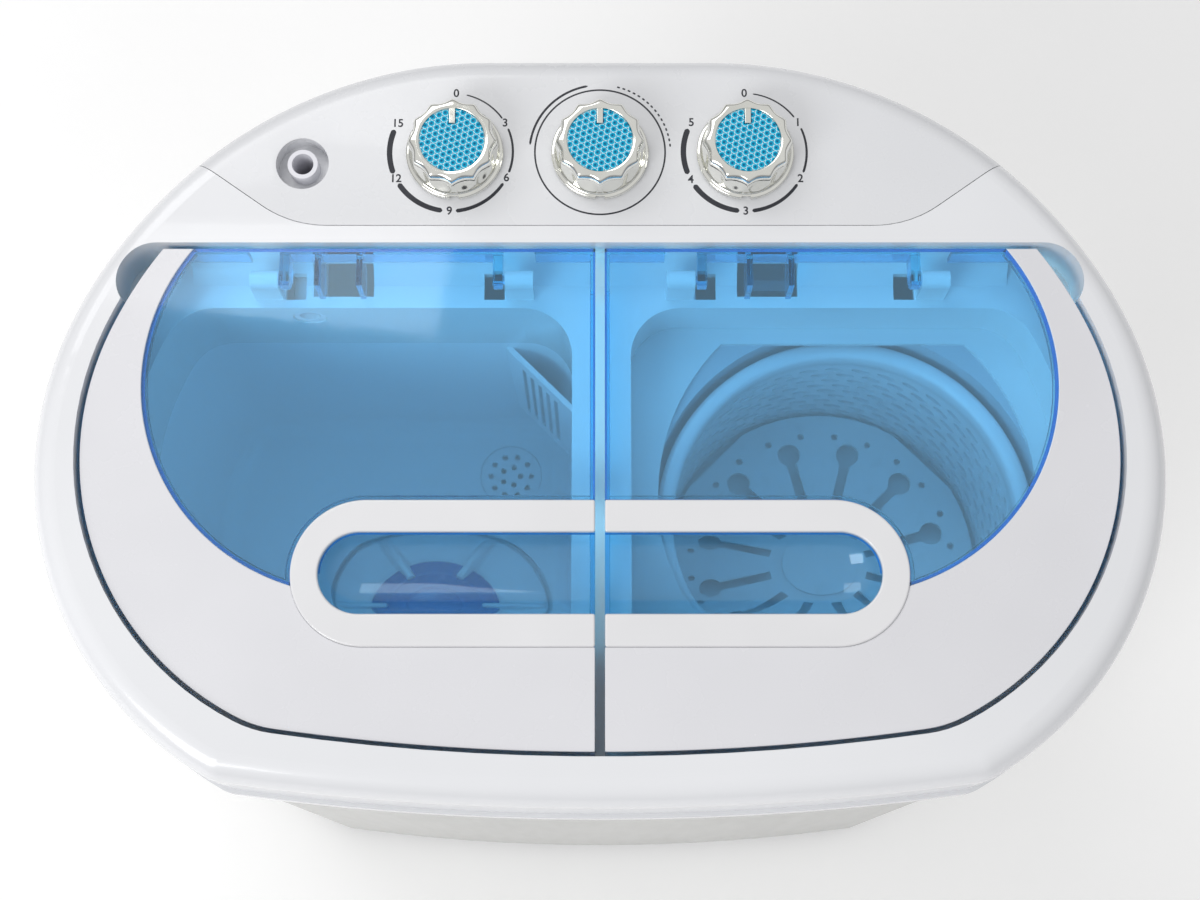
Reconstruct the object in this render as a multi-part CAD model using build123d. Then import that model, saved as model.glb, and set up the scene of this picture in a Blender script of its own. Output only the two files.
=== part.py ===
from build123d import *
import math
import os

# Compact twin-tub washing machine, in millimetres.
# X runs across the front, Y from front to back, Z up from the floor. The origin is the centre of the footprint.

# Plan of the machine: two side arcs, two rear arcs, a straight back and a shallow front arc
overall_width = 592.0
overall_depth = 404.5
side_ease = 9.25
rear_lean_x = 43.0
rear_lean_y = 19.0
front_radius = 1430.0
front_corner = 18.0

# Heights above the floor
foot_height = 12.0
cabinet_top = 500.0
skirt_bottom = 470.0
rim_top = 540.0
collar_bottom = 450.0

# Walls and clearances
wall = 3.0
tub_wall = 2.5
bead_depth = 2.5
bead_height = 11.0
rim_round = 14.0
deck_fit = 0.3
seam_gap = 0.4
seat_gap = 0.3
shaft_fit = 0.05
running_gap = 0.5

# Lids
lid_side_x = 109.0
lid_side_y = -13.75
lid_side_radius = 159.0
lid_lean_x = 53.0
lid_lean_y = 21.5
lid_front_y = -172.85
lid_front_radius = 1165.0
lid_front_corner = 60.0
lid_gap = 2.5
lid_sink = 2.5
lid_plate = 3.0
lid_skirt = 2.5
lid_back_skirt = 16.0
centre_gap = 5.0
trim_thick = 2.5
window_x = 122.5
window_y = 21.25
window_radius = 116.0
well_back_y = 93.75
scoop_radius = 20.0
scoop_x = 234.6

# Handle ring and finger dish of a lid
ring_left = 157.0
ring_y = -83.0
ring_radius = 37.8
dish_left = 143.0
dish_radius = 21.0
dish_arc = 24.4
dish_depth = 13.0
ring_proud = 1.2

# Lid hinge
hinge_setback = 15.0
hinge_drop = 8.5
hinge_pin = 2.5
hinge_ear = 5.0
hinge_arm = 5.0
arm_outer_x = 167.0
arm_inner_x = 54.0
ear_width = 15.0
ear_gap = 1.0
slot_width = 11.0
lock_width = 32.6
lock_wash_x = 138.4
lock_spin_x = 90.3
lock_front_y = 73.0
fin_thick = 3.0
fin_pitch = 22.0

# Tub openings in the deck
ledge_width = 20.0
opening_back_y = 66.6
wash_edge_x = 14.9
spin_edge_x = 16.5
opening_corner = 27.0

# Wash tub
tub_floor = 293.0
tub_draft = 5.0
tub_round = 12.0
sump_depth = 10.0
sump_radius = 75.0
pulsator_x = -105.0
pulsator_y = -69.0
pulsator_radius = 72.0
pulsator_centre_radius = 41.0
strainer_x = -57.6
strainer_y = 26.3
strainer_radius = 20.0
strainer_pit = 14.0

# Spin side
basket_x = 135.0
basket_y = -41.5
basket_radius = 98.0
basket_floor = 333.0
basket_top = 450.0
ring_inner = 94.5
ring_outer = 104.0
balance_height = 16.0
spin_tub_radius = 108.0
spin_tub_floor = 315.0
pocket_floor = 477.0
mouth_radius = 124.0
mouth_half = 103.3
mouth_back_y = 57.25
mouth_front_y = -138.0
press_radius = 93.0
press_thick = 3.0
press_slots = 12

# Control panel
seam_y = 103.5
seam_corner_x = 163.8
seam_slope = 35.0
seam_round = 60.0
panel_tilt = 4.0
panel_bend = 150.0
shelf_top = 508.0
knob_y = 143.0
knob_pitch = 77.4
knob_base_radius = 25.95
knob_radius = 23.65
knob_height = 22.2
knob_flutes = 12
cap_radius = 17.05
knob_shaft = 3.0
timer_side = 40.0
timer_depth = 24.0
inlet_x = -158.7
inlet_y = 137.5
cup_radius = 14.1
cup_depth = 12.0
nozzle_radius = 8.05
nozzle_bore = 5.75

# Drives
shaft_radius = 6.0
spin_shaft_radius = 7.0
big_pulley_radius = 55.0
small_pulley_radius = 15.0
groove_depth = 4.0
groove_width = 7.0
pulley_height = 12.0
pulley_bottom = 180.0
belt_centres = 110.0
belt_bearing = 135.0
motor_radius = 48.0
motor_height = 64.0
bracket_bottom = 200.0
spin_motor_radius = 58.0
spin_motor_low = 91.0
spin_motor_high = 188.0
drum_radius = 45.0
drum_low = 214.0
drum_high = 232.0
mount_circle = 62.0
brake_gap = 4.3

# Rear of the cabinet
spigot_radius = 10.0
spigot_bore = 7.5
spigot_z = 75.0
cover_x = 14.0
cover_z = 135.0
cover_width = 88.0
cover_height = 150.0

# Smaller features of the deck, panel and knobs
seat_inset = 14.0
ear_heel = 0.5
slot_back = 9.0
lock_step = 0.75
cove_half = 220.0
cove_feather = 3.0
wiring_width = 90.0
wiring_depth = 44.0
lug_thick = 4.0
lug_size = 6.0
rocker_y = 106.0
rocker_z = 498.0
rocker_pin = 2.5
mouth_y = -29.75
cup_wall = 2.0
spindle_hole = 6.0
timer_neck = 5.5
knob_lift = 0.6
knob_flange = 3.5
knob_bevel = 1.2
knob_hollow = 19.0
knob_boss = 7.0
flute_radius = 6.0
flute_depth = 1.4
cap_thick = 2.2
cap_sink = 0.3
pointer_width = 3.2
pointer_length = 8.0
nozzle_length = 24.0
nozzle_sink = 1.0
nozzle_neck = 7.65
neck_lift = 0.2
duct_radius = 9.0
duct_z = 495.0
duct_step = 0.6
knee_wall = 0.5

# Smaller features of the lids
window_step = 0.1
hinge_reach = 12.0

# Smaller features of the tubs
rim_reach = 6.5
rim_high = 8.0
strainer_seat = 4.0
drain_hole = 10.0
seal_radius = 12.0
overflow_in = 10.0
overflow_low = 330.0
overflow_high = 442.0
basket_dome = 14.7
press_flat = 90.0
bellows_radius = 32.0

# Smaller features of the drives and brake
pulsator_rise = 12.0
shaft_top = 298.0
housing_flange = 38.0
housing_tube = 18.0
motor_shaft = 4.5
belt_width = 6.0
belt_thick = 5.0
bracket_posts = ((-190.0, -58.0), (-118.0, 48.0), (-234.0, -16.0))
hub_boss = 16.0
hub_low = 290.0
mount_low = 40.0
brake_pin = 4.0
brake_pivot = (190.0, 10.0)
brake_tail = (206.0, 34.0)

# Smaller features of the drain and cabinet
valve_radius = 22.0
valve_low = 228.0
stem_radius = 4.0
hose_radius = 10.0
hose_bore = 7.5
outlet_z = 242.0
outlet_y = 50.0
pocket_half = 22.0
pocket_depth = 22.0
tray_thick = 4.0
lip_inset = 24.0
cover_thick = 2.5
screw_shank = 1.8
screw_head = 4.0
gland_x = 30.0
gland_z = 42.0
gland_radius = 7.0
capacitor_y = -112.0
capacitor_radius = 18.0
foot_side_inset = 111.0
foot_front_inset = 64.25
foot_rear_inset = 94.25
side_screw_inset = 24.0
side_screw_y = -20.0
end_screw_x = 120.0
front_screw_inset = 26.25
rear_screw_inset = 29.25

# Worked out from the sizes above
dish_z = rim_top - lid_sink - 2 * trim_thick - dish_depth + dish_arc
pit_bottom = tub_floor - strainer_pit - wall
valve_seat = pit_bottom - seat_gap
cover_screws = tuple((cover_x + i * (cover_width / 2 - 4), cover_z + k * (cover_height / 2 - 4))
                     for i in (-1, 1) for k in (-1, 1))
half_depth = overall_depth / 2
half_width = overall_width / 2
side_radius = half_depth - side_ease
rear_radius = side_radius + math.hypot(rear_lean_x, rear_lean_y)
side_x = half_width - side_radius
foot_places = tuple((i * (half_width - foot_side_inset), y)
                    for y in (foot_front_inset - half_depth, half_depth - foot_rear_inset) for i in (-1, 1))
base_screws = tuple((i * (half_width - side_screw_inset), side_screw_y) for i in (-1, 1))
base_screws += tuple((i * end_screw_x, y)
                     for y in (front_screw_inset - half_depth, half_depth - rear_screw_inset) for i in (-1, 1))
side_y = half_depth - rear_radius + rear_lean_y
skirt_inset = bead_depth
cabinet_inset = bead_depth + wall + deck_fit
spigot_in = half_depth - cabinet_inset - pocket_depth - wall
lid_top = rim_top - lid_sink
lid_back_y = well_back_y - lid_gap
hinge_y = lid_back_y - hinge_setback
hinge_z = lid_top - hinge_drop
cove_radius = well_back_y - hinge_y
ledge_top = hinge_z - cove_radius
sump_floor = tub_floor - sump_depth
motor_x = pulsator_x + belt_centres * math.cos(math.radians(belt_bearing))
motor_y = pulsator_y + belt_centres * math.sin(math.radians(belt_bearing))


def rod(x, y, radius, low, high):
    """Upright round bar between two heights."""
    return Pos(x, y, low) * Cylinder(radius, high - low, align=(Align.CENTER, Align.CENTER, Align.MIN))


def pipe(x, y, outer, inner, low, high):
    """Upright tube between two heights."""
    return rod(x, y, outer, low, high) - rod(x, y, inner, low, high)


def block(x0, x1, y0, y1, z0, z1):
    """Box between two corners."""
    return Pos(x0, y0, z0) * Box(x1 - x0, y1 - y0, z1 - z0, align=(Align.MIN, Align.MIN, Align.MIN))


def slab(face, low, high):
    """A plan drawn on the floor plane, raised between two heights."""
    return extrude(Pos(0, 0, low) * face, amount=high - low, dir=(0, 0, 1))


def bar_x(y, z, radius, x0, x1):
    """Round bar along X."""
    return Pos(x0, y, z) * Rot(0, 90, 0) * Cylinder(radius, x1 - x0, align=(Align.CENTER, Align.CENTER, Align.MIN))


def bar_y(x, z, radius, y0, y1):
    """Round bar along Y."""
    return Pos(x, y0, z) * Rot(-90, 0, 0) * Cylinder(radius, y1 - y0, align=(Align.CENTER, Align.CENTER, Align.MIN))


def rectangle(x0, x1, y0, y1):
    """Flat rectangle between two corners."""
    return Pos((x0 + x1) / 2, (y0 + y1) / 2) * Rectangle(x1 - x0, y1 - y0)


def mirrored(shape):
    """The same shape on the other side of the machine."""
    return mirror(shape, about=Plane.YZ)


def meet(x1, y1, r1, x2, y2, r2):
    """The two points where two circles cross."""
    gap = math.hypot(x2 - x1, y2 - y1)
    along = (r1 * r1 - r2 * r2 + gap * gap) / (2 * gap)
    off = math.sqrt(r1 * r1 - along * along)
    ux, uy = (x2 - x1) / gap, (y2 - y1) / gap
    px, py = x1 + along * ux, y1 + along * uy
    return (px - off * uy, py + off * ux), (px + off * uy, py - off * ux)


def arc(cx, cy, start, end):
    """Arc about a centre from start to end, the short way round."""
    radius = math.hypot(start[0] - cx, start[1] - cy)
    mx, my = start[0] + end[0] - 2 * cx, start[1] + end[1] - 2 * cy
    share = radius / math.hypot(mx, my)
    return ThreePointArc(start, (cx + share * mx, cy + share * my), end)


def flip(point):
    """A plan point on the other side of the machine."""
    return (-point[0], point[1])


def oval(sx, sy, sr, lean_x, lean_y, front_y, front_r, corner, inset, scoop=None):
    """Symmetric plan of side, rear and front arcs, drawn in by inset. With scoop, it ends in a straight
    back wall whose two corners are hollowed out round."""
    lean = math.hypot(lean_x, lean_y)
    side = sr - inset
    rear_x, rear_y, rear = sx - lean_x, sy - lean_y, sr + lean - inset
    front_cy, front = front_y + front_r, front_r - inset
    tangent = (sx + side * lean_x / lean, sy + side * lean_y / lean)
    foot = max(meet(sx, sy, side, 0, front_cy, front))
    if scoop:
        cx, back_y, radius = scoop
        cy = back_y - radius
        crossing = min(meet(cx, cy, radius - inset, rear_x, rear_y, rear), key=lambda p: p[1])
        top = (cx, back_y - inset)
        rear_arcs = [(cx, cy, top, crossing), (rear_x, rear_y, crossing, tangent)]
    else:
        top = (rear_x, rear_y + rear)
        rear_arcs = [(rear_x, rear_y, top, tangent)]
    arcs = rear_arcs + [(sx, sy, tangent, foot)]
    edges = [arc(cx, cy, a, b) for cx, cy, a, b in arcs]
    edges += [arc(-cx, cy, flip(a), flip(b)) for cx, cy, a, b in arcs]
    edges += [ThreePointArc(foot, (0, front_cy - front), flip(foot)), Line(top, flip(top))]
    plan = make_face(edges)
    return fillet(plan.vertices().sort_by(Axis.Y)[:2], corner - inset * 0.5)


def outline(inset):
    """Plan of the whole machine, drawn in by inset."""
    return oval(side_x, side_y, side_radius, rear_lean_x, rear_lean_y, -half_depth, front_radius, front_corner, inset)


def lid_oval(inset, scoop=None):
    """Plan of the two closed lids before their straight back is cut."""
    return oval(lid_side_x, lid_side_y, lid_side_radius, lid_lean_x, lid_lean_y, lid_front_y,
                lid_front_radius, lid_front_corner, inset, scoop)


def well_plan(grow):
    """Plan of the recess that both lids close into, grown by grow."""
    scoop = (scoop_x, well_back_y - lid_gap, scoop_radius - lid_gap)
    return lid_oval(-lid_gap - grow, scoop)


def lid_plan(grow):
    """Plan of the right-hand lid, grown by grow."""
    half = rectangle(centre_gap / 2 - grow, overall_width, -overall_depth, lid_back_y + grow)
    return lid_oval(-grow) & half


def opening_plan(edge_x, grow):
    """Plan of the right-hand tub opening: straight at the middle and back, parallel to the lid elsewhere."""
    half = rectangle(edge_x - grow, overall_width, -overall_depth, opening_back_y + grow)
    plan = lid_oval(ledge_width - grow) & half
    corners = [v for v in plan.vertices() if abs(v.X - edge_x + grow) < 0.01 or v.Y > opening_back_y + grow - 0.01]
    return fillet(corners, opening_corner + grow)


def panel_plan(grow):
    """Plan of the control panel's zone behind its seam, running out past the machine at the sides and back."""
    reach = overall_width
    rise = (reach - seam_corner_x) * math.tan(math.radians(seam_slope))
    points = [(-seam_corner_x, seam_y), (seam_corner_x, seam_y), (reach, seam_y + rise), (-reach, seam_y + rise)]
    plan = make_face(Polyline(*points, close=True))
    plan = fillet(plan.vertices().sort_by(Axis.Y)[:2], seam_round)
    return offset(plan, grow, kind=Kind.INTERSECTION) if grow else plan


def top_profile(drop):
    """Space above the machine's top face, seen from the side: level over the lids, then a gentle bend up
    to the tilted control panel."""
    tilt = math.radians(panel_tilt)
    bend_start = seam_y - panel_bend * math.sin(tilt) / 2
    bend_end = bend_start + panel_bend * math.sin(tilt)
    bend_rise = panel_bend * (1 - math.cos(tilt))
    half = math.radians(panel_tilt / 2)
    bend_mid = (bend_start + panel_bend * math.sin(half), rim_top - drop + panel_bend * (1 - math.cos(half)))
    far = overall_depth
    far_z = rim_top - drop + bend_rise + (far - bend_end) * math.tan(tilt)
    start, level = (-far, rim_top - drop), (bend_start, rim_top - drop)
    after = (bend_end, rim_top - drop + bend_rise)
    high = rim_top + overall_depth
    edges = [Line(start, level), ThreePointArc(level, bend_mid, after), Line(after, (far, far_z))]
    edges += [Line((far, far_z), (far, high)), Line((far, high), (-far, high)), Line((-far, high), start)]
    return extrude(Plane.YZ * make_face(edges), amount=overall_width, both=True)


def dome(inset, drop):
    """The machine's top as a solid: its plan raised, cut off by the top profile and rounded along the edge."""
    body = slab(outline(inset), skirt_bottom, rim_top + overall_depth / 4) - top_profile(drop)
    edges = [e for e in body.edges() if e.bounding_box().min.Z > rim_top - drop - 0.01]
    rim = [e for e in edges if not crosses(e)]
    return fillet(rim, rim_round - inset + skirt_inset)


def crosses(edge):
    """True for the creases that run straight across the top face."""
    return abs((edge @ 0).Y - (edge @ 1).Y) < 0.01 and abs((edge @ 0).Y) < half_depth - bead_depth - rim_round


def panel_z(y):
    """Height of the tilted control panel's face at a depth y."""
    tilt = math.radians(panel_tilt)
    bend_end = seam_y + panel_bend * math.sin(tilt) / 2
    return rim_top + panel_bend * (1 - math.cos(tilt)) + (y - bend_end) * math.tan(tilt)


def on_panel(x, y):
    """Place on the control panel's face, square to it."""
    return Pos(x, y, panel_z(y)) * Rot(panel_tilt, 0, 0)


def mouth_plan():
    """Plan of the round mouth over the spin basket, cut straight at back and front."""
    shift = mouth_radius - mouth_half
    left = Pos(basket_x + shift, mouth_y) * Circle(mouth_radius)
    right = Pos(basket_x - shift, mouth_y) * Circle(mouth_radius)
    return left & right & rectangle(0, overall_width, mouth_front_y, mouth_back_y)


def ear_spans():
    """Left and right end of each hinge ear of the right-hand lid."""
    outer = arm_outer_x + hinge_arm / 2 + ear_gap
    inner = arm_inner_x - hinge_arm / 2 - ear_gap
    return [(outer, outer + ear_width), (inner - ear_width, inner)]


def slot_spans():
    """Left and right end of the slot under each hinge arm of the right-hand lid."""
    outer, inner = ear_spans()
    return [(outer[0] - ear_gap - slot_width, outer[0] - ear_gap), (inner[1] + ear_gap, inner[1] + ear_gap + slot_width)]


def hinge_ear_solid(x0, x1):
    """Ear that stands on the well's floor and carries one hinge pin."""
    ear = bar_x(hinge_y, hinge_z, hinge_ear, x0, x1)
    ear += block(x0, x1, hinge_y - hinge_ear, hinge_y + ear_heel, ledge_top - wall / 2, hinge_z)
    return ear - bar_x(hinge_y, hinge_z, hinge_pin + shaft_fit, x0 - wall, x1 + wall)


def top_deck():
    """Moulded deck: domed rim and skirt, the well for the lids, the collars over both tubs, the shelf under
    the control panel and the ears of the lid hinges."""
    high = rim_top + overall_depth / 4
    core = dome(skirt_inset + wall / 3, wall / 3)
    deck = dome(skirt_inset, 0) - dome(skirt_inset + wall, wall)
    deck += slab(outline(0) - outline(skirt_inset + wall), skirt_bottom, skirt_bottom + bead_height)
    deck -= slab(panel_plan(seam_gap), shelf_top, high)
    deck += slab(well_plan(wall), ledge_top - wall, high) & core
    inside = outline(skirt_inset + wall / 2)
    deck += slab(panel_plan(seam_gap + wall) & inside, shelf_top - wall, high) & core
    deck += slab(inside - outline(seat_inset), cabinet_top, cabinet_top + wall)
    deck += slab(mirrored(opening_plan(wash_edge_x, wall)), collar_bottom, ledge_top)
    deck += slab(opening_plan(spin_edge_x, wall), pocket_floor - wall, ledge_top)
    for x in (lock_spin_x - lock_width / 2, lock_spin_x + lock_width / 2):
        deck += block(x - lug_thick / 2, x + lug_thick / 2, rocker_y - lug_size, rocker_y + lug_size,
                      rocker_z - lug_size, shelf_top - wall / 2)
    deck -= slab(well_plan(0), ledge_top, high)
    deck -= slab(panel_plan(seam_gap), shelf_top, high)
    deck -= slab(mirrored(opening_plan(wash_edge_x, 0)), collar_bottom - wall, ledge_top + wall)
    deck -= slab(opening_plan(spin_edge_x, 0), pocket_floor, ledge_top + wall)
    deck -= slab(mouth_plan(), pocket_floor - 2 * wall, pocket_floor + wall)
    cove = block(-cove_half, cove_half, hinge_y + cove_feather, well_back_y + wall / 3, ledge_top - wall / 3,
                 hinge_z - cove_feather)
    deck += cove - bar_x(hinge_y, hinge_z, cove_radius, -overall_width, overall_width)
    for x0, x1 in ear_spans():
        deck += hinge_ear_solid(x0, x1) + mirrored(hinge_ear_solid(x0, x1))
    for x0, x1 in slot_spans():
        slot = block(x0, x1, hinge_y - hinge_ear, hinge_y + slot_back, ledge_top - 2 * wall, hinge_z - hinge_ear)
        deck -= slot + mirrored(slot)
    for x in (lock_spin_x, -lock_wash_x):
        deck -= block(x - lock_width / 2, x + lock_width / 2, lock_front_y, well_back_y - lock_step,
                      ledge_top - 2 * wall, hinge_z - cove_feather / 2)
    deck -= rod(inlet_x, duct_y, duct_radius + seat_gap, shelf_top - 2 * wall, shelf_top + wall)
    deck -= bar_y(inlet_x, duct_z, duct_radius + seat_gap, opening_back_y - wall, opening_back_y + 2 * wall)
    deck -= block(-wiring_width / 2, wiring_width / 2, knob_y - wiring_depth / 2, knob_y + wiring_depth / 2,
                  shelf_top - 2 * wall, shelf_top + wall)
    return deck - bar_x(rocker_y, rocker_z, rocker_pin, lock_spin_x - lock_width, lock_spin_x + lock_width)


def control_panel():
    """Separate moulding that closes the deck's rear, with the water inlet's cup and three spindle holes."""
    zone = slab(panel_plan(0), shelf_top, rim_top + overall_depth / 4)
    panel = (dome(skirt_inset, 0) - dome(skirt_inset + wall, wall)) & zone
    seam_wall = slab(panel_plan(0) - panel_plan(-wall), shelf_top, rim_top + overall_depth / 4)
    panel += seam_wall & dome(skirt_inset + wall / 3, wall / 3)
    spot = on_panel(inlet_x, inlet_y)
    panel += spot * rod(0, 0, cup_radius + cup_wall, -cup_depth - cup_wall, -wall / 2)
    panel -= spot * rod(0, 0, cup_radius, -cup_depth, wall)
    panel -= spot * rod(0, 0, nozzle_neck, -cup_depth - 2 * cup_wall, wall)
    for x in (-knob_pitch, 0, knob_pitch):
        panel -= on_panel(x, knob_y) * rod(0, 0, spindle_hole, -2 * wall, wall)
    return panel


def timer_body(x):
    """Square clockwork or switch body screwed under the panel, with a bore for its spindle."""
    half = timer_side / 2
    body = block(-half, half, -half, half, -wall - timer_depth, -wall)
    body += rod(0, 0, timer_neck, -wall - seat_gap, -seat_gap) - rod(0, 0, knob_shaft + shaft_fit, -wall - 1, 0)
    body -= rod(0, 0, knob_shaft + shaft_fit, -timer_depth, 0)
    return on_panel(x, knob_y) * body


def knob_spindle(x):
    """Steel spindle between the timer or switch and its knob."""
    return on_panel(x, knob_y) * rod(0, 0, knob_shaft, -timer_depth + wall, knob_height - wall)


def knob_skirt(x):
    """Bright fluted knob: a thin base flange, scalloped grip, hollow underside and a pointer rib on top."""
    body = rod(0, 0, knob_base_radius, knob_lift, knob_flange)
    grip = rod(0, 0, knob_radius, knob_flange / 2, knob_height)
    for i in range(knob_flutes):
        turn = Rot(0, 0, (i + 0.5) * 360 / knob_flutes)
        grip -= turn * rod(knob_radius + flute_radius - flute_depth, 0, flute_radius, knob_flange, knob_height)
    body += chamfer(grip.faces().sort_by(Axis.Z)[-1].edges(), knob_bevel)
    body -= rod(0, 0, knob_hollow, 0, knob_height - 2 * wall) - rod(0, 0, knob_boss, 0, knob_height)
    recess = rod(0, 0, cap_radius, knob_height - cap_thick, knob_height + wall)
    body -= recess - pointer_rib(0)
    body -= rod(0, 0, knob_shaft, -wall, knob_height - wall)
    return on_panel(x, knob_y) * body


def pointer_rib(clear):
    """Rib that shows through the cap and points at the scale."""
    half = pointer_width / 2 + clear
    return block(-half, half, cap_radius - pointer_length - clear, cap_radius + wall, 0, knob_height)


def knob_cap(x):
    """Coloured cap pressed into the top of a knob, slotted for the pointer rib."""
    cap = rod(0, 0, cap_radius, knob_height - cap_thick, knob_height - cap_sink)
    return on_panel(x, knob_y) * (cap - pointer_rib(0))


def inlet_duct():
    """One moulding: the nozzle that a tap hose pushes onto, standing in the panel's cup, and the elbow that
    leads the water forward under the deck and out through the wash collar."""
    spot = on_panel(inlet_x, inlet_y)
    duct = spot * rod(0, 0, nozzle_neck, -nozzle_length, -nozzle_sink)
    duct += spot * rod(0, 0, nozzle_radius, neck_lift - cup_depth, -nozzle_sink)
    duct += spot * rod(0, 0, duct_radius + wall, -cup_depth - cup_wall - wall, -cup_depth - cup_wall)
    duct += rod(inlet_x, duct_y, duct_radius, duct_z, duct_top + wall)
    knee = duct_radius + knee_wall
    duct += block(inlet_x - knee, inlet_x + knee, duct_y - knee, duct_y + knee, duct_z - knee, duct_z + knee)
    duct += bar_y(inlet_x, duct_z, duct_radius, opening_back_y + wall / 3, duct_y)
    duct -= spot * rod(0, 0, nozzle_bore, -nozzle_length - wall, wall)
    duct -= rod(inlet_x, duct_y, nozzle_bore + duct_step, duct_z - nozzle_bore - duct_step, duct_top)
    return duct - bar_y(inlet_x, duct_z, nozzle_bore, opening_back_y - wall, duct_y)


def window_plan(inset):
    """Plan of the raised clear part of the right-hand lid: a disc, carried on straight towards the middle."""
    back = rectangle(centre_gap / 2 + inset, window_x, ring_y + ring_radius + inset, lid_back_y - inset)
    return (Pos(window_x, window_y) * Circle(window_radius - inset) + back) & lid_plan(-inset)


def handle_plan(far, radius):
    """Half-stadium plan that is open at the middle edge of the right-hand lid."""
    straight = rectangle(centre_gap / 2, far - radius, ring_y - radius, ring_y + radius)
    return straight + Pos(far - radius, ring_y) * Circle(radius)


def dish_space(radius, start):
    """Long hollow along X with a round end, for the finger dish."""
    end = dish_left - dish_radius
    return bar_x(ring_y, dish_z, radius, start, end) + Pos(end, ring_y, dish_z) * Sphere(radius)


def lid_window(lock_x):
    """Clear moulding of the right-hand lid: plate, skirts, raised window, finger dish, hinge arms and pins."""
    plate_low = lid_top - trim_thick - lid_plate
    plate_top = lid_top - trim_thick
    outer = handle_plan(ring_left, ring_radius)
    body = slab(lid_plan(0), plate_low, plate_top)
    body += slab(window_plan(0) - outer, plate_top - wall / 3, lid_top)
    body -= slab(window_plan(lid_skirt) - handle_plan(ring_left + lid_skirt, ring_radius + lid_skirt),
                 plate_low - wall, plate_top - window_step)
    skirt = slab(lid_plan(0) - lid_plan(-lid_skirt), ledge_top + seat_gap, plate_low + wall / 2)
    skirt -= block(0, overall_width, hinge_y - hinge_ear, overall_depth, 0, lid_top - lid_back_skirt)
    body += skirt
    low = block(centre_gap / 2, overall_width, -overall_depth, overall_depth, 0, plate_low + wall / 2)
    body += dish_space(dish_arc + lid_skirt, centre_gap / 2) & low
    body -= dish_space(dish_arc, centre_gap / 2 + lid_skirt) & slab(lid_plan(wall), 0, plate_top + wall / 3)
    for x0, x1 in ear_spans():
        body -= block(x0 - ear_gap, x1 + ear_gap, hinge_y - hinge_ear - ear_gap, overall_depth, 0,
                      plate_top - window_step)
    for x in (arm_outer_x, arm_inner_x):
        x0, x1 = x - hinge_arm / 2, x + hinge_arm / 2
        back = lid_back_y - lid_skirt / 2
        body += bar_x(hinge_y, hinge_z, hinge_ear, x0, x1)
        body += block(x0, x1, hinge_y - hinge_ear, back, hinge_z, plate_top + wall / 3)
        body += block(x0, x1, hinge_y, back, lid_top - lid_back_skirt, hinge_z + wall)
    outer_ear, inner_ear = ear_spans()
    body += bar_x(hinge_y, hinge_z, hinge_pin, arm_outer_x, outer_ear[0] + hinge_reach)
    body += bar_x(hinge_y, hinge_z, hinge_pin, inner_ear[1] - hinge_reach, arm_inner_x)
    for x in (lock_x - fin_pitch / 2, lock_x + fin_pitch / 2):
        fin = block(x - fin_thick / 2, x + fin_thick / 2, hinge_y - hinge_ear, lid_back_y - lid_skirt / 2,
                    ledge_top, plate_top + wall / 3)
        body += fin & bar_x(hinge_y, hinge_z, cove_radius - seat_gap, x - fin_thick, x + fin_thick)
    return body


def lid_trim():
    """White crescent around the front and side of the right-hand lid's window."""
    plan = lid_plan(0) - window_plan(0) - handle_plan(ring_left, ring_radius)
    return slab(plan, lid_top - trim_thick, lid_top)


def lid_handle():
    """White half-stadium ring around the right-hand lid's finger dish."""
    plan = handle_plan(ring_left, ring_radius) - handle_plan(dish_left, dish_radius)
    ring = slab(plan, lid_top - trim_thick, lid_top + ring_proud)
    return fillet(ring.faces().sort_by(Axis.Z)[-1].edges(), ring_proud - wall / 15)


def tub_space(grow, low, high):
    """Tapered space of the wash tub between two heights, grown by grow."""
    plans = []
    for z in (low, high):
        inset = tub_draft * (collar_bottom - z) / (collar_bottom - tub_floor)
        plans.append(Pos(0, 0, z) * opening_plan(wash_edge_x, grow - inset))
    space = loft(plans, ruled=True)
    return mirrored(fillet(space.faces().sort_by(Axis.Z)[0].edges(), tub_round + grow))


def wash_tub():
    """Tapered wash tub with a rim channel around the deck's collar, a sump for the pulsator and a strainer pit."""
    tub = tub_space(tub_wall, tub_floor - tub_wall, collar_bottom)
    tub += slab(mirrored(opening_plan(wash_edge_x, rim_reach)), collar_bottom - wall, collar_bottom + rim_high)
    tub -= slab(mirrored(opening_plan(wash_edge_x, wall + deck_fit)), collar_bottom, collar_bottom + 2 * rim_high)
    tub += rod(pulsator_x, pulsator_y, sump_radius + tub_wall, sump_floor - wall, tub_floor)
    tub += rod(strainer_x, strainer_y, strainer_radius + tub_wall, pit_bottom, tub_floor)
    tub -= tub_space(0, tub_floor, collar_bottom + wall / 10)
    tub -= rod(pulsator_x, pulsator_y, sump_radius, sump_floor, tub_floor + wall)
    tub -= rod(pulsator_x, pulsator_y, seal_radius, sump_floor - 2 * wall, sump_floor + wall)
    tub -= rod(strainer_x, strainer_y, strainer_radius, tub_floor - strainer_seat, tub_floor + wall)
    tub -= rod(strainer_x, strainer_y, strainer_radius - wall, pit_bottom + wall, tub_floor + wall)
    return tub - rod(strainer_x, strainer_y, drain_hole, pit_bottom - wall, tub_floor)


def drain_strainer():
    """Perforated disc over the drain."""
    low = tub_floor - strainer_seat
    disc = rod(0, 0, strainer_radius - seat_gap, low, low + wall)
    for ring, count in ((6.0, 5), (13.0, 10)):
        for i in range(count):
            disc -= Rot(0, 0, 360 * i / count) * rod(ring, 0, 1.75, low - wall, low + 2 * wall)
    return Pos(strainer_x, strainer_y, 0) * disc


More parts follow.
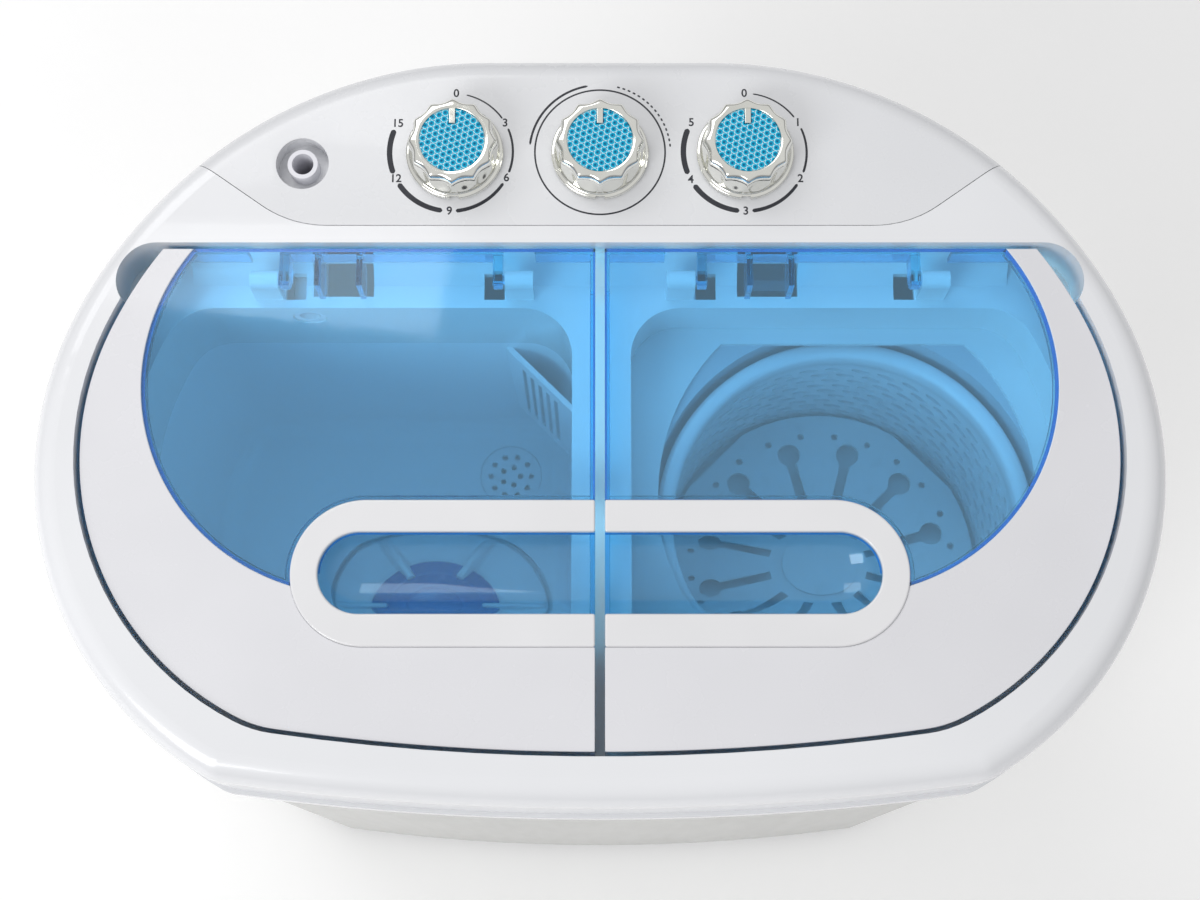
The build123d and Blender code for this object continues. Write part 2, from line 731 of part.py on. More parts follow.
def overflow_cover():
    """Slotted cover across the tub's rear inner corner, over the overflow."""
    corner = -wash_edge_x - opening_corner
    place = Pos(corner, opening_back_y - opening_corner, 0) * Rot(0, 0, 45)
    plate = place * block(overflow_in, overflow_in + wall, -opening_corner, opening_corner, overflow_low, overflow_high)
    plate = plate & tub_space(0, tub_floor, collar_bottom)
    for i in range(5):
        y = (i - 2) * 6.5
        plate -= place * block(0, opening_corner, y - 1.5, y + 1.5, overflow_low + 12, overflow_high - 12)
    return plate


def pulsator():
    """Washing disc with six vanes that turns in the tub's sump."""
    low = sump_floor + 1
    disc = rod(0, 0, pulsator_radius, low, low + 4)
    profile = make_face(Polyline((30, low + 3), (70, low + 3), (70, low + 6), (46, low + 17), (30, low + 17), close=True))
    vane = extrude(Plane.XZ * profile, amount=3.5, both=True)
    for i in range(6):
        disc += Rot(0, 0, 60 * i) * vane
    disc += rod(0, 0, 30.5, low, low + 14)
    disc -= rod(0, 0, shaft_radius, low - 1, low + 30)
    return Pos(pulsator_x, pulsator_y, 0) * (disc - pulsator_dome())


def pulsator_dome():
    """Shallow dome over the middle of the pulsator, before it is placed."""
    low = sump_floor + 5
    rise = pulsator_rise
    ball = (pulsator_centre_radius ** 2 + rise ** 2) / (2 * rise)
    dome_solid = Pos(0, 0, low + wall + rise - ball) * Sphere(ball)
    keep = rod(0, 0, pulsator_centre_radius, low, low + 40)
    return (dome_solid & keep) - rod(0, 0, pulsator_centre_radius + 1, low - 80, low + 0.01)


def pulsator_cap():
    """Coloured dome over the middle of the pulsator."""
    cap = pulsator_dome() - rod(0, 0, shaft_radius, 0, shaft_top)
    return Pos(pulsator_x, pulsator_y, 0) * cap


def pulsator_shaft():
    """Steel shaft from the drive pulley up to the pulsator."""
    return rod(pulsator_x, pulsator_y, shaft_radius, pulley_bottom - 3, shaft_top)


def pulsator_seal():
    """Lip seal that keeps the water in where the shaft comes through the sump."""
    seal = pipe(0, 0, seal_radius, shaft_radius + shaft_fit, sump_floor - wall, sump_floor)
    return Pos(pulsator_x, pulsator_y, 0) * seal


def bearing_housing():
    """Flanged tube under the sump that carries the pulsator shaft."""
    low, high = bracket_bottom + wall, sump_floor - wall
    body = rod(0, 0, housing_flange, high - 6, high) + rod(0, 0, housing_tube, low, high)
    for i in range(6):
        rib = block(housing_tube - 2, housing_flange - 4, -1.5, 1.5, high - 36, high - 5)
        cut = Pos(housing_flange - 4, 0, high - 36) * Rot(0, -32, 0) * Box(60, 10, 60, align=(Align.MIN, Align.CENTER, Align.MAX))
        body += Rot(0, 0, 60 * i) * (rib - cut)
    body -= rod(0, 0, shaft_radius + shaft_fit, low - 1, high + 1)
    return Pos(pulsator_x, pulsator_y, 0) * body


def pulley(radius, bore):
    """Grooved belt pulley before it is placed."""
    top = pulley_bottom + pulley_height
    mid = pulley_bottom + pulley_height / 2
    body = rod(0, 0, radius, pulley_bottom, top)
    body -= pipe(0, 0, radius + 1, radius - groove_depth, mid - groove_width / 2, mid + groove_width / 2)
    return body - rod(0, 0, bore, pulley_bottom - 1, top + 1)


def drive_pulley():
    """Large pulley on the pulsator shaft, lightened by five holes."""
    body = pulley(big_pulley_radius, shaft_radius)
    for i in range(5):
        body -= Rot(0, 0, 72 * i) * rod(31, 0, 10, pulley_bottom - 1, pulley_bottom + pulley_height + 1)
    return Pos(pulsator_x, pulsator_y, 0) * body


def motor_pulley():
    """Small pulley on the wash motor's shaft."""
    return Pos(motor_x, motor_y, 0) * pulley(small_pulley_radius, motor_shaft)


def belt_plan(extra):
    """Plan of a band drawn tight around both pulleys."""
    big = big_pulley_radius - groove_depth + extra
    small = small_pulley_radius - groove_depth + extra
    lean = math.acos((big - small) / belt_centres)
    bearing = math.radians(belt_bearing)
    points = []
    for cx, cy, r, side in ((pulsator_x, pulsator_y, big, 1), (motor_x, motor_y, small, 1),
                            (motor_x, motor_y, small, -1), (pulsator_x, pulsator_y, big, -1)):
        angle = bearing + side * lean
        points.append((cx + r * math.cos(angle), cy + r * math.sin(angle)))
    band = make_face(Polyline(*points, close=True))
    return band + Pos(pulsator_x, pulsator_y) * Circle(big) + Pos(motor_x, motor_y) * Circle(small)


def drive_belt():
    """Rubber belt around both pulleys."""
    mid = pulley_bottom + pulley_height / 2
    low, high = mid - belt_width / 2, mid + belt_width / 2
    return slab(belt_plan(seat_gap + belt_thick), low, high) - slab(belt_plan(seat_gap), low - 1, high + 1)


def wash_motor():
    """Wash motor: ribbed can with end caps, bored for its shaft."""
    low = bracket_bottom + wall
    body = rod(0, 0, motor_radius - 3, low, low + motor_height)
    body += rod(0, 0, motor_radius, low + 14, low + motor_height - 14)
    body += rod(0, 0, 16, low + motor_height - 1, low + motor_height + 5)
    for i in range(12):
        body += Rot(0, 0, 30 * i) * block(motor_radius - 5, motor_radius - 1, -1.5, 1.5, low + 4, low + motor_height - 4)
    body -= rod(0, 0, motor_shaft + shaft_fit, low - 1, low + motor_height - 6)
    return Pos(motor_x, motor_y, 0) * body


def wash_motor_shaft():
    """Shaft of the wash motor."""
    return rod(motor_x, motor_y, motor_shaft, pulley_bottom - 3, bracket_bottom + motor_height - 6)


def link(p, q, width):
    """Plan of a bar with round ends between two points."""
    length = math.hypot(q[0] - p[0], q[1] - p[1])
    angle = math.degrees(math.atan2(q[1] - p[1], q[0] - p[0]))
    bar = Pos(p[0], p[1]) * Rot(0, 0, angle) * Pos(length / 2, 0) * Rectangle(length, width)
    return bar + Pos(p[0], p[1]) * Circle(width / 2) + Pos(q[0], q[1]) * Circle(width / 2)


def motor_bracket():
    """Pressed plate under the wash tub, hung on three posts, that carries the motor and the shaft housing."""
    centre, motor = (pulsator_x, pulsator_y), (motor_x, motor_y)
    plan = link(centre, motor, 56) + Pos(*motor) * Circle(motor_radius + 4)
    for post in bracket_posts:
        plan += link(motor if post[0] < pulsator_x - 60 else centre, post, 22)
    low, high = bracket_bottom, bracket_bottom + wall
    body = slab(plan, low, high)
    for x, y in bracket_posts:
        body += rod(x, y, 6, low, tub_floor - tub_wall)
    body -= rod(pulsator_x, pulsator_y, shaft_radius + 3, low - 1, high + 1)
    return body - rod(motor_x, motor_y, small_pulley_radius + 2, low - 1, high + 1)


def spin_outer_tub():
    """Fixed tub around the spin basket, flanged to the deck's pocket, with an outlet at its floor."""
    high = pocket_floor - wall
    body = rod(0, 0, spin_tub_radius + tub_wall, spin_tub_floor - wall, high)
    body += rod(0, 0, mouth_radius, high - wall, high)
    body -= rod(0, 0, spin_tub_radius, spin_tub_floor, high + 1)
    body -= rod(0, 0, bellows_radius - 2, spin_tub_floor - 2 * wall, spin_tub_floor + 1)
    body += pipe(-80, 40, 10, 7.5, spin_tub_floor - 20, spin_tub_floor - 1)
    body -= rod(-80, 40, 7.5, spin_tub_floor - 21, spin_tub_floor + 1)
    return Pos(basket_x, basket_y, 0) * body


def spin_basket():
    """Perforated basket with a rolled rim and a raised middle."""
    body = pipe(0, 0, basket_radius, basket_radius - tub_wall, basket_floor - wall, basket_top)
    body += rod(0, 0, basket_radius, basket_floor - wall, basket_floor)
    body += pipe(0, 0, basket_radius + 4, basket_radius - tub_wall, basket_top - wall, basket_top)
    for k in range(3):
        for i in range(8):
            z = basket_floor + 24 + 34 * k
            turn = Rot(0, 0, 22.5 * i + 11.25 * (k % 2))
            body -= turn * block(-basket_radius - wall, basket_radius + wall, -2, 2, z, z + 12)
    body += Pos(0, 0, basket_floor - wall) * Cone(44, 30, basket_dome, align=(Align.CENTER, Align.CENTER, Align.MIN))
    body -= rod(0, 0, spin_shaft_radius, basket_floor - 2 * wall, basket_floor + basket_dome)
    for i in range(8):
        body -= Rot(0, 0, 45 * i + 22.5) * rod(68, 0, 5, basket_floor - 2 * wall, basket_floor + wall)
    return Pos(basket_x, basket_y, 0) * body


def balance_ring():
    """Liquid-filled ring at the basket's mouth."""
    ring = pipe(0, 0, ring_outer, ring_inner, basket_top, basket_top + balance_height)
    ring = fillet(ring.faces().sort_by(Axis.Z)[-1].edges(), 3)
    return Pos(basket_x, basket_y, 0) * ring


def press_plate():
    """Plate that holds the clothes down: keyhole slots, small holes and four flats."""
    low = basket_floor - wall + basket_dome + seat_gap
    square = Rot(0, 0, 45) * block(-press_flat, press_flat, -press_flat, press_flat, low, low + press_thick)
    body = rod(0, 0, press_radius, low, low + press_thick) & square
    step = 360 / press_slots
    for i in range(press_slots):
        turn = Rot(0, 0, (i + 0.5) * step)
        body -= turn * (block(32, 70, -3, 3, low - 1, low + 10) + rod(70, 0, 7, low - 1, low + 10))
        for k in (-0.25, 0.25):
            body -= Rot(0, 0, (i + k) * step) * rod(80, 0, 2, low - 1, low + 10)
    body += rod(0, 0, 24, low, low + press_thick + 2)
    return Pos(basket_x, basket_y, 0) * body


def basket_hub():
    """Cast hub that ties the basket to the spin shaft."""
    body = rod(0, 0, 40, basket_floor - wall - 10, basket_floor - wall) + rod(0, 0, hub_boss, hub_low, basket_floor - wall)
    for i in range(4):
        body += Rot(0, 0, 90 * i) * block(0, 60, -6, 6, basket_floor - wall - 7, basket_floor - wall)
    body -= rod(0, 0, spin_shaft_radius, hub_low - 1, basket_floor + 1)
    return Pos(basket_x, basket_y, 0) * body


def spin_shaft():
    """Steel shaft from the spin motor up to the basket."""
    return rod(basket_x, basket_y, spin_shaft_radius, spin_motor_low + 9, basket_floor - wall + basket_dome)


def brake_drum():
    """Cup-shaped drum on the spin shaft."""
    body = pipe(0, 0, drum_radius, drum_radius - 5, drum_low, drum_high) + rod(0, 0, drum_radius, drum_low, drum_low + 4)
    body += rod(0, 0, 14, drum_low, drum_high + 6)
    body -= rod(0, 0, spin_shaft_radius, drum_low - 1, drum_high + 7)
    return Pos(basket_x, basket_y, 0) * body


def spin_motor():
    """Spin motor: can with end caps and cooling ribs, bored for the shaft."""
    body = rod(0, 0, spin_motor_radius - 4, spin_motor_low, spin_motor_high)
    body += rod(0, 0, spin_motor_radius, spin_motor_low + 20, spin_motor_high - 20)
    for i in range(12):
        body += Rot(0, 0, 30 * i) * block(spin_motor_radius - 6, spin_motor_radius - 1, -2, 2,
                                          spin_motor_low + 6, spin_motor_high - 6)
    body -= rod(0, 0, spin_shaft_radius + shaft_fit, spin_motor_low + 5, spin_motor_high + 1)
    return Pos(basket_x, basket_y, 0) * body


def spin_motor_plate():
    """Three-armed plate under the spin motor."""
    plan = Circle(spin_motor_radius + 2)
    for i in range(3):
        plan += Rot(0, 0, 120 * i + 90) * (Pos(mount_circle, 0) * Circle(18))
    body = slab(plan, spin_motor_low - wall, spin_motor_low)
    for i in range(3):
        body -= Rot(0, 0, 120 * i + 90) * rod(mount_circle, 0, 4, spin_motor_low - 2 * wall, spin_motor_low + 1)
    return Pos(basket_x, basket_y, 0) * body


def spin_motor_mounts():
    """Three waisted rubber mounts between the motor plate and the base tray."""
    low, high = mount_low, spin_motor_low - wall
    third = (high - low) / 3
    mount = rod(0, 0, 15, low, high) - pipe(0, 0, 16, 11, low + third - 5, low + third + 1)
    mount -= pipe(0, 0, 16, 11, high - third - 1, high - third + 5)
    mount += rod(0, 0, 4, high - 1, high + wall)
    return [Pos(basket_x, basket_y, 0) * (Rot(0, 0, 120 * i + 90) * (Pos(mount_circle, 0, 0) * mount)) for i in range(3)]


def bellows_seal():
    """Folded rubber seal between the spin tub's floor and the turning hub."""
    inner = hub_boss + 0.6
    high = spin_tub_floor - wall
    body = pipe(0, 0, bellows_radius + 4, inner + 6, high - 3, high)
    body += pipe(0, 0, bellows_radius - 2, inner + 6, high - 1, high + wall)
    for i in range(3):
        z = high - 3 - 4 * i
        body += pipe(0, 0, bellows_radius - 6 - 3 * (i % 2), inner + 3 * (i % 2), z - 4, z + 0.01)
    return Pos(basket_x, basket_y, 0) * (body - rod(0, 0, inner, 0, spin_tub_floor + 10))


def brake_bracket():
    """Strap on top of the spin motor with the upright pin of the brake lever."""
    low, high = spin_motor_high, spin_motor_high + wall
    body = slab(link((basket_x, basket_y), brake_pivot, 26), low, high)
    body += rod(brake_pivot[0], brake_pivot[1], brake_pin, low, drum_high + 4)
    body += rod(brake_pivot[0], brake_pivot[1], 8, low, drum_low - 1)
    return body - rod(basket_x, basket_y, spin_shaft_radius + 1, low - 1, high + 1)


def brake_lever():
    """Lever with a curved shoe that swings against the drum."""
    low, high = drum_low + 2, drum_high - 2
    inner = drum_radius + brake_gap
    wedge = make_face(Polyline((0, 0), (90, -22), (90, 22), close=True))
    shoe = pipe(basket_x, basket_y, inner + 7, inner, low, high)
    shoe = shoe & slab(Pos(basket_x, basket_y) * wedge, low, high)
    back = (basket_x + inner + 6, basket_y + 8)
    arm = slab(link(brake_pivot, back, 10) + link(brake_pivot, brake_tail, 10), low + 3, high - 3)
    body = shoe + (arm - rod(basket_x, basket_y, inner + 2, 0, high + 1)) + rod(brake_pivot[0], brake_pivot[1], 9, low, high)
    body -= rod(brake_tail[0], brake_tail[1], 1.5, low - 1, high + 1)
    return body - rod(brake_pivot[0], brake_pivot[1], brake_pin + shaft_fit, low - 1, high + 1)


def lid_rocker():
    """Rocker behind the spin lid that works the brake when the lid opens."""
    x0, x1 = lock_spin_x - 11, lock_spin_x + 11
    body = bar_x(rocker_y, rocker_z, rocker_pin - shaft_fit, lock_spin_x - lock_width / 2 - 2, lock_spin_x + lock_width / 2 + 2)
    body += bar_x(rocker_y, rocker_z, 5, x0, x1)
    body += block(x0, x1, lock_front_y + 4, rocker_y, rocker_z - 4, rocker_z)
    body += block(x0, x1, lock_front_y + 4, lock_front_y + 10, rocker_z - 4, ledge_top - 2)
    body += block(lock_spin_x - 4, lock_spin_x + 4, rocker_y - 3, rocker_y + 1, rocker_z - 26, rocker_z)
    return body - bar_x(rocker_y - 1, rocker_z - 22, 1.2, x0, x1)


def drain_valve_body():
    """Valve chamber under the tub's drain hole, with a side outlet and a guide for the plunger's stem."""
    body = rod(0, 0, valve_radius, valve_low, pit_bottom) - rod(0, 0, valve_radius - wall, valve_low + 4, pit_bottom + 1)
    body += bar_y(0, outlet_z, hose_radius - 2.5, valve_radius - wall / 2, outlet_y - strainer_y + 14)
    body -= bar_y(0, outlet_z, hose_bore - 2.5, 0, outlet_y - strainer_y + 15)
    body -= rod(0, 0, stem_radius + shaft_fit, valve_low - 1, valve_low + 5)
    return Pos(strainer_x, strainer_y, 0) * body


def valve_plunger():
    """Plunger that closes the drain hole from below, on a stem that the selector pulls down."""
    body = rod(0, 0, drain_hole + 3, valve_seat - 5, valve_seat) + rod(0, 0, stem_radius, valve_low - 8, valve_seat - 1)
    body -= bar_x(0, valve_low - 5, 1.2, -10, 10)
    return Pos(strainer_x, strainer_y, 0) * body


def valve_spring():
    """Coil spring that holds the plunger up."""
    low, high = valve_low + 4 + 1.1, valve_seat - 5 - 1.1
    turns = 5
    path = Helix(pitch=(high - low) / turns, height=high - low, radius=9.5)
    wire = Plane(origin=path @ 0, z_dir=path % 0) * Circle(1)
    return Pos(strainer_x, strainer_y, low) * sweep(wire, path=path)


def drain_hose():
    """Hose from the valve down to the spigot at the back."""
    x, start, end = strainer_x, outlet_y, spigot_in
    down = (start + end) / 2 + 8
    first = Line((x, start, outlet_z), (x, down - 30, outlet_z))
    fall = ThreePointArc((x, down - 30, outlet_z), (x, down - 30 + 30 * math.sin(math.pi / 4),
                         outlet_z - 30 + 30 * math.cos(math.pi / 4)), (x, down, outlet_z - 30))
    drop = Line((x, down, outlet_z - 30), (x, down, spigot_z + 30))
    turn = ThreePointArc((x, down, spigot_z + 30), (x, down + 30 - 30 * math.cos(math.pi / 4),
                         spigot_z + 30 - 30 * math.sin(math.pi / 4)), (x, down + 30, spigot_z))
    last = Line((x, down + 30, spigot_z), (x, end, spigot_z))
    path = Wire([first, fall, drop, turn, last])
    place = Plane(origin=path @ 0, z_dir=(0, 1, 0))
    return sweep(place * Circle(hose_radius), path=path) - sweep(place * Circle(hose_bore), path=path)


def drain_spigot():
    """Flanged spigot in the pocket at the back, for the outlet hose."""
    back = half_depth - cabinet_inset
    body = bar_y(strainer_x, spigot_z, spigot_radius, back - pocket_depth, back - 0.5)
    body += bar_y(strainer_x, spigot_z, hose_bore - shaft_fit, spigot_in - 2, back - pocket_depth + 1)
    body += bar_y(strainer_x, spigot_z, spigot_radius + 5, back - pocket_depth, back - pocket_depth + 2)
    return body - bar_y(strainer_x, spigot_z, spigot_bore - 1.5, 0, back + 1)


def cabinet_shell():
    """Steel cabinet: oval wall with a turned-in foot, a pocket for the spigot and a service opening."""
    lip = foot_height + tray_thick
    shell = slab(outline(cabinet_inset), foot_height, cabinet_top)
    shell -= slab(outline(cabinet_inset + wall), lip + wall, cabinet_top + 1)
    shell -= slab(outline(cabinet_inset + wall), foot_height - 1, lip)
    shell -= slab(outline(lip_inset), foot_height, lip + 2 * wall)
    back = half_depth - cabinet_inset
    x0, x1 = strainer_x - pocket_half, strainer_x + pocket_half
    z0, z1 = spigot_z - pocket_half - 6, spigot_z + pocket_half + 6
    inside = slab(outline(cabinet_inset + wall / 2), 0, cabinet_top)
    shell += block(x0 - wall, x1 + wall, back - pocket_depth - wall, back, z0 - wall, z1 + wall) & inside
    shell -= block(x0, x1, back - pocket_depth, back + 10, z0, z1)
    shell -= bar_y(strainer_x, spigot_z, spigot_radius, back - 2 * pocket_depth, back)
    shell -= block(cover_x - cover_width / 2 + 8, cover_x + cover_width / 2 - 8, back - 2 * wall, back + 1,
                   cover_z - cover_height / 2 + 8, cover_z + cover_height / 2 - 8)
    for x, z in cover_screws:
        shell -= bar_y(x, z, screw_shank, back - 2 * wall, back + 1)
    for x, y in base_screws:
        shell -= rod(x, y, screw_shank, lip - 1, lip + wall + 1)
    return shell - bar_y(gland_x, gland_z, gland_radius - 2, back - 2 * wall, back + 1)


def rear_cover():
    """Louvred service cover screwed over the opening at the back."""
    back = half_depth - cabinet_inset
    x0, x1 = cover_x - cover_width / 2, cover_x + cover_width / 2
    z0, z1 = cover_z - cover_height / 2, cover_z + cover_height / 2
    plate = block(x0, x1, back, back + cover_thick, z0, z1)
    for i in range(7):
        z = cover_z - 42 + 14 * i
        plate -= block(cover_x - 27, cover_x + 27, back - 1, back + cover_thick + 1, z - 2, z + 2)
    for x, z in cover_screws:
        plate -= bar_y(x, z, screw_shank, back - 1, back + cover_thick + 1)
    return plate


def cable_gland():
    """Rubber gland where the mains cord goes in."""
    back = half_depth - cabinet_inset
    body = bar_y(gland_x, gland_z, gland_radius, back, back + 4) + bar_y(gland_x, gland_z, gland_radius - 2, back - 8, back + 1)
    return body - bar_y(gland_x, gland_z, 4, back - 10, back + 5)


def base_tray():
    """Tray that closes the cabinet below, with raised bosses under the spin motor mounts."""
    low, high = foot_height, foot_height + tray_thick
    tray = slab(outline(cabinet_inset + wall + 0.4), low, high)
    tray += slab(outline(lip_inset + 2) - outline(lip_inset + 2 + tub_wall), low + 1, high + 14)
    for i in range(3):
        boss = Rot(0, 0, 120 * i + 90) * (rod(mount_circle, 0, 16, low + 1, mount_low))
        tray += Pos(basket_x, basket_y, 0) * boss
    for x in (-22, 30):
        tray += rod(x, capacitor_y, capacitor_radius + 3, low + 1, high + 6)
        tray -= rod(x, capacitor_y, capacitor_radius, high, high + 7)
    for x, y in foot_places:
        tray -= rod(x, y, 4, low - 1, high + 1)
    for x, y in base_screws:
        tray -= rod(x, y, screw_shank, low - 1, high + 1)
    for i in range(8):
        tray -= block(-150 + 14 * i, -144 + 14 * i, -60, 0, low - 1, high + 1)
    return tray


def foot_pads():
    """Four rubber feet with studs through the tray."""
    foot = Cone(13, 16, foot_height, align=(Align.CENTER, Align.CENTER, Align.MIN)) + rod(0, 0, 4, 0, foot_height + tray_thick)
    return [Pos(x, y, 0) * foot for x, y in foot_places]


def case_screws():
    """Alike screws: six up through the tray, four into the rear cover."""
    back = half_depth - cabinet_inset + cover_thick
    screws = []
    for x, y in base_screws:
        screws.append(rod(x, y, screw_head, foot_height - 2.5, foot_height) + rod(x, y, screw_shank, foot_height - 1, foot_height + 9))
    for x, z in cover_screws:
        screws.append(bar_y(x, z, screw_head, back, back + 2.5) + bar_y(x, z, screw_shank, back - 9, back + 1))
    return screws


def motor_capacitors():
    """Run capacitors of the two motors, standing in cups of the tray."""
    low = foot_height + tray_thick
    can = rod(0, 0, capacitor_radius, low, low + 62) + rod(0, 0, 4, low + 61, low + 68)
    return [Pos(x, capacitor_y, 0) * can for x in (-22, 30)]


# Where the inlet's nozzle ends under the sloping panel
duct_y = inlet_y + nozzle_length * math.sin(math.radians(panel_tilt))
duct_top = panel_z(inlet_y) - nozzle_length * math.cos(math.radians(panel_tilt))

pieces = {
    "cabinet_shell": cabinet_shell(),
    "base_tray": base_tray(),
    "foot_pads": foot_pads(),
    "rear_cover": rear_cover(),
    "cable_gland": cable_gland(),
    "case_screws": case_screws(),
    "top_deck": top_deck(),
    "control_panel": control_panel(),
    "timer_bodies": [timer_body(-knob_pitch), timer_body(knob_pitch)],
    "selector_switch_body": timer_body(0),
    "wash_timer_knob": knob_skirt(-knob_pitch),
    "wash_timer_cap": knob_cap(-knob_pitch),
    "wash_timer_spindle": knob_spindle(-knob_pitch),
    "selector_knob": knob_skirt(0),
    "selector_cap": knob_cap(0),
    "selector_spindle": knob_spindle(0),
    "spin_timer_knob": knob_skirt(knob_pitch),
    "spin_timer_cap": knob_cap(knob_pitch),
    "spin_timer_spindle": knob_spindle(knob_pitch),
    "inlet_duct": inlet_duct(),
    "wash_lid_window": mirrored(lid_window(lock_wash_x)),
    "wash_lid_trim": mirrored(lid_trim()),
    "wash_lid_handle": mirrored(lid_handle()),
    "spin_lid_window": lid_window(lock_spin_x),
    "spin_lid_trim": lid_trim(),
    "spin_lid_handle": lid_handle(),
    "wash_tub": wash_tub(),
    "drain_strainer": drain_strainer(),
    "overflow_cover": overflow_cover(),
    "pulsator": pulsator(),
    "pulsator_cap": pulsator_cap(),
    "pulsator_shaft": pulsator_shaft(),
    "pulsator_seal": pulsator_seal(),
    "bearing_housing": bearing_housing(),
    "drive_pulley": drive_pulley(),
    "drive_belt": drive_belt(),
    "motor_pulley": motor_pulley(),
    "wash_motor": wash_motor(),
    "wash_motor_shaft": wash_motor_shaft(),
    "motor_bracket": motor_bracket(),
    "spin_outer_tub": spin_outer_tub(),
    "spin_basket": spin_basket(),
    "balance_ring": balance_ring(),
    "press_plate": press_plate(),
    "basket_hub": basket_hub(),
    "spin_shaft": spin_shaft(),
    "brake_drum": brake_drum(),
    "spin_motor": spin_motor(),
    "spin_motor_plate": spin_motor_plate(),
    "spin_motor_mounts": spin_motor_mounts(),
    "bellows_seal": bellows_seal(),
    "brake_bracket": brake_bracket(),
    "brake_lever": brake_lever(),
    "lid_rocker": lid_rocker(),
    "drain_valve_body": drain_valve_body(),
    "valve_plunger": valve_plunger(),
    "valve_spring": valve_spring(),
    "drain_hose": drain_hose(),
    "drain_spigot": drain_spigot(),
    "motor_capacitors": motor_capacitors(),
}

os.makedirs("parts", exist_ok=True)
for name, shape in pieces.items():
    solids = shape if isinstance(shape, list) else shape.solids()
    export_step(Compound(children=list(solids)), f"parts/{name}.step")
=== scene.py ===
import bmesh
import bpy
import math
import numpy as np
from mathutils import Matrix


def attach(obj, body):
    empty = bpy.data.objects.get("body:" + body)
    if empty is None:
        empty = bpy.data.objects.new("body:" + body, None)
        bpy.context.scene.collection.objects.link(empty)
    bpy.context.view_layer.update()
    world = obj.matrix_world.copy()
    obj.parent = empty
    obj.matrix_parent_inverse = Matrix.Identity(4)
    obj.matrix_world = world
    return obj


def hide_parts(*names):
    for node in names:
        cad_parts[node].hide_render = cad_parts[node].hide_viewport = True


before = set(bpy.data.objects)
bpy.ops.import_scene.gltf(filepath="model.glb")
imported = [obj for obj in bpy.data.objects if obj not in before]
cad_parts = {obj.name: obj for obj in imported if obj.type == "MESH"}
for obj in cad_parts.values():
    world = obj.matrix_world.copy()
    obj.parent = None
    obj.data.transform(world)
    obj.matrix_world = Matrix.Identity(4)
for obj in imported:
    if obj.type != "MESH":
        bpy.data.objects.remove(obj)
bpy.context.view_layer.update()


# Studio: a pale floor, a bright even room and two large soft lamps.
# The camera looks down at the open front of the deck, as the photograph does.
scene = bpy.context.scene
scene.view_settings.view_transform = "Standard"
lens = bpy.data.cameras.new("photo_camera")
lens.lens = 55.5
lens.sensor_width = 36.0
camera = bpy.data.objects.new("photo_camera", lens)
camera.location = (0.0, -0.2557, 1.4597)
camera.rotation_euler = (math.radians(14.40), 0.0, 0.0)
scene.collection.objects.link(camera)
scene.camera = camera


def linear(red, green, blue):
    """Screen colour from 0 to 255 as the light it stands for: a power of 2.4 above the short straight toe."""
    tone = np.array([red, green, blue]) / 255.0
    light = np.where(tone <= 0.04045, tone / 12.92, ((tone + 0.055) / 1.055) ** 2.4)
    return (*light.tolist(), 1.0)


def lamp(name, place, tilt, width, depth, power):
    """Rectangular soft lamp that shines along its own downward axis, turned by tilt."""
    light = bpy.data.lights.new(name, "AREA")
    light.shape, light.size, light.size_y, light.energy = "RECTANGLE", width, depth, power
    stand = bpy.data.objects.new(name, light)
    stand.location = place
    stand.rotation_euler = [math.radians(a) for a in tilt]
    scene.collection.objects.link(stand)


lamp("rear_softbox", (-1.0, 1.2, 2.3), (-36, -20, 0), 1.7, 1.0, 12.5)
lamp("front_softbox", (-1.5, -1.5, 1.9), (44, -32, 0), 1.5, 1.0, 23.0)

room = bpy.data.worlds.new("pale_room")
room.use_nodes = True
scene.world = room
sky = room.node_tree
facing = sky.nodes.new("ShaderNodeTexCoord")
height = sky.nodes.new("ShaderNodeSeparateXYZ")
fade = sky.nodes.new("ShaderNodeValToRGB")
fade.color_ramp.elements[0].position = 0.50
fade.color_ramp.elements[0].color = (0.30, 0.30, 0.32, 1.0)
fade.color_ramp.elements[1].position = 0.78
fade.color_ramp.elements[1].color = (1.0, 1.0, 1.0, 1.0)
lift = sky.nodes.new("ShaderNodeMapRange")
lift.inputs["From Min"].default_value = -1.0
sky.links.new(facing.outputs["Generated"], height.inputs[0])
sky.links.new(height.outputs["Z"], lift.inputs["Value"])
sky.links.new(lift.outputs["Result"], fade.inputs["Fac"])
sky.links.new(fade.outputs["Color"], sky.nodes["Background"].inputs["Color"])
sky.nodes["Background"].inputs["Strength"].default_value = 0.68


def new_material(name):
    """A node material, its tree and its Principled shader."""
    material = bpy.data.materials.new(name)
    material.use_nodes = True
    return material, material.node_tree, material.node_tree.nodes["Principled BSDF"]


def cloud(tree, scale, detail=3.0, stretch=(1.0, 1.0, 1.0)):
    """Noise from 0 to 1 over the piece's own place, drawn out along an axis where stretch is below 1."""
    place = tree.nodes.new("ShaderNodeTexCoord")
    axes = tree.nodes.new("ShaderNodeMapping")
    axes.inputs["Scale"].default_value = stretch
    noise = tree.nodes.new("ShaderNodeTexNoise")
    noise.inputs["Scale"].default_value = scale
    noise.inputs["Detail"].default_value = detail
    tree.links.new(place.outputs["Object"], axes.inputs["Vector"])
    tree.links.new(axes.outputs["Vector"], noise.inputs["Vector"])
    return noise.outputs["Fac"]


def between(tree, value, low, high):
    """The middle part of a noise, spread out to run from low to high."""
    spread = tree.nodes.new("ShaderNodeMapRange")
    for key, number in (("From Min", 0.3), ("From Max", 0.7), ("To Min", low), ("To Max", high)):
        spread.inputs[key].default_value = number
    tree.links.new(value, spread.inputs["Value"])
    return spread.outputs["Result"]


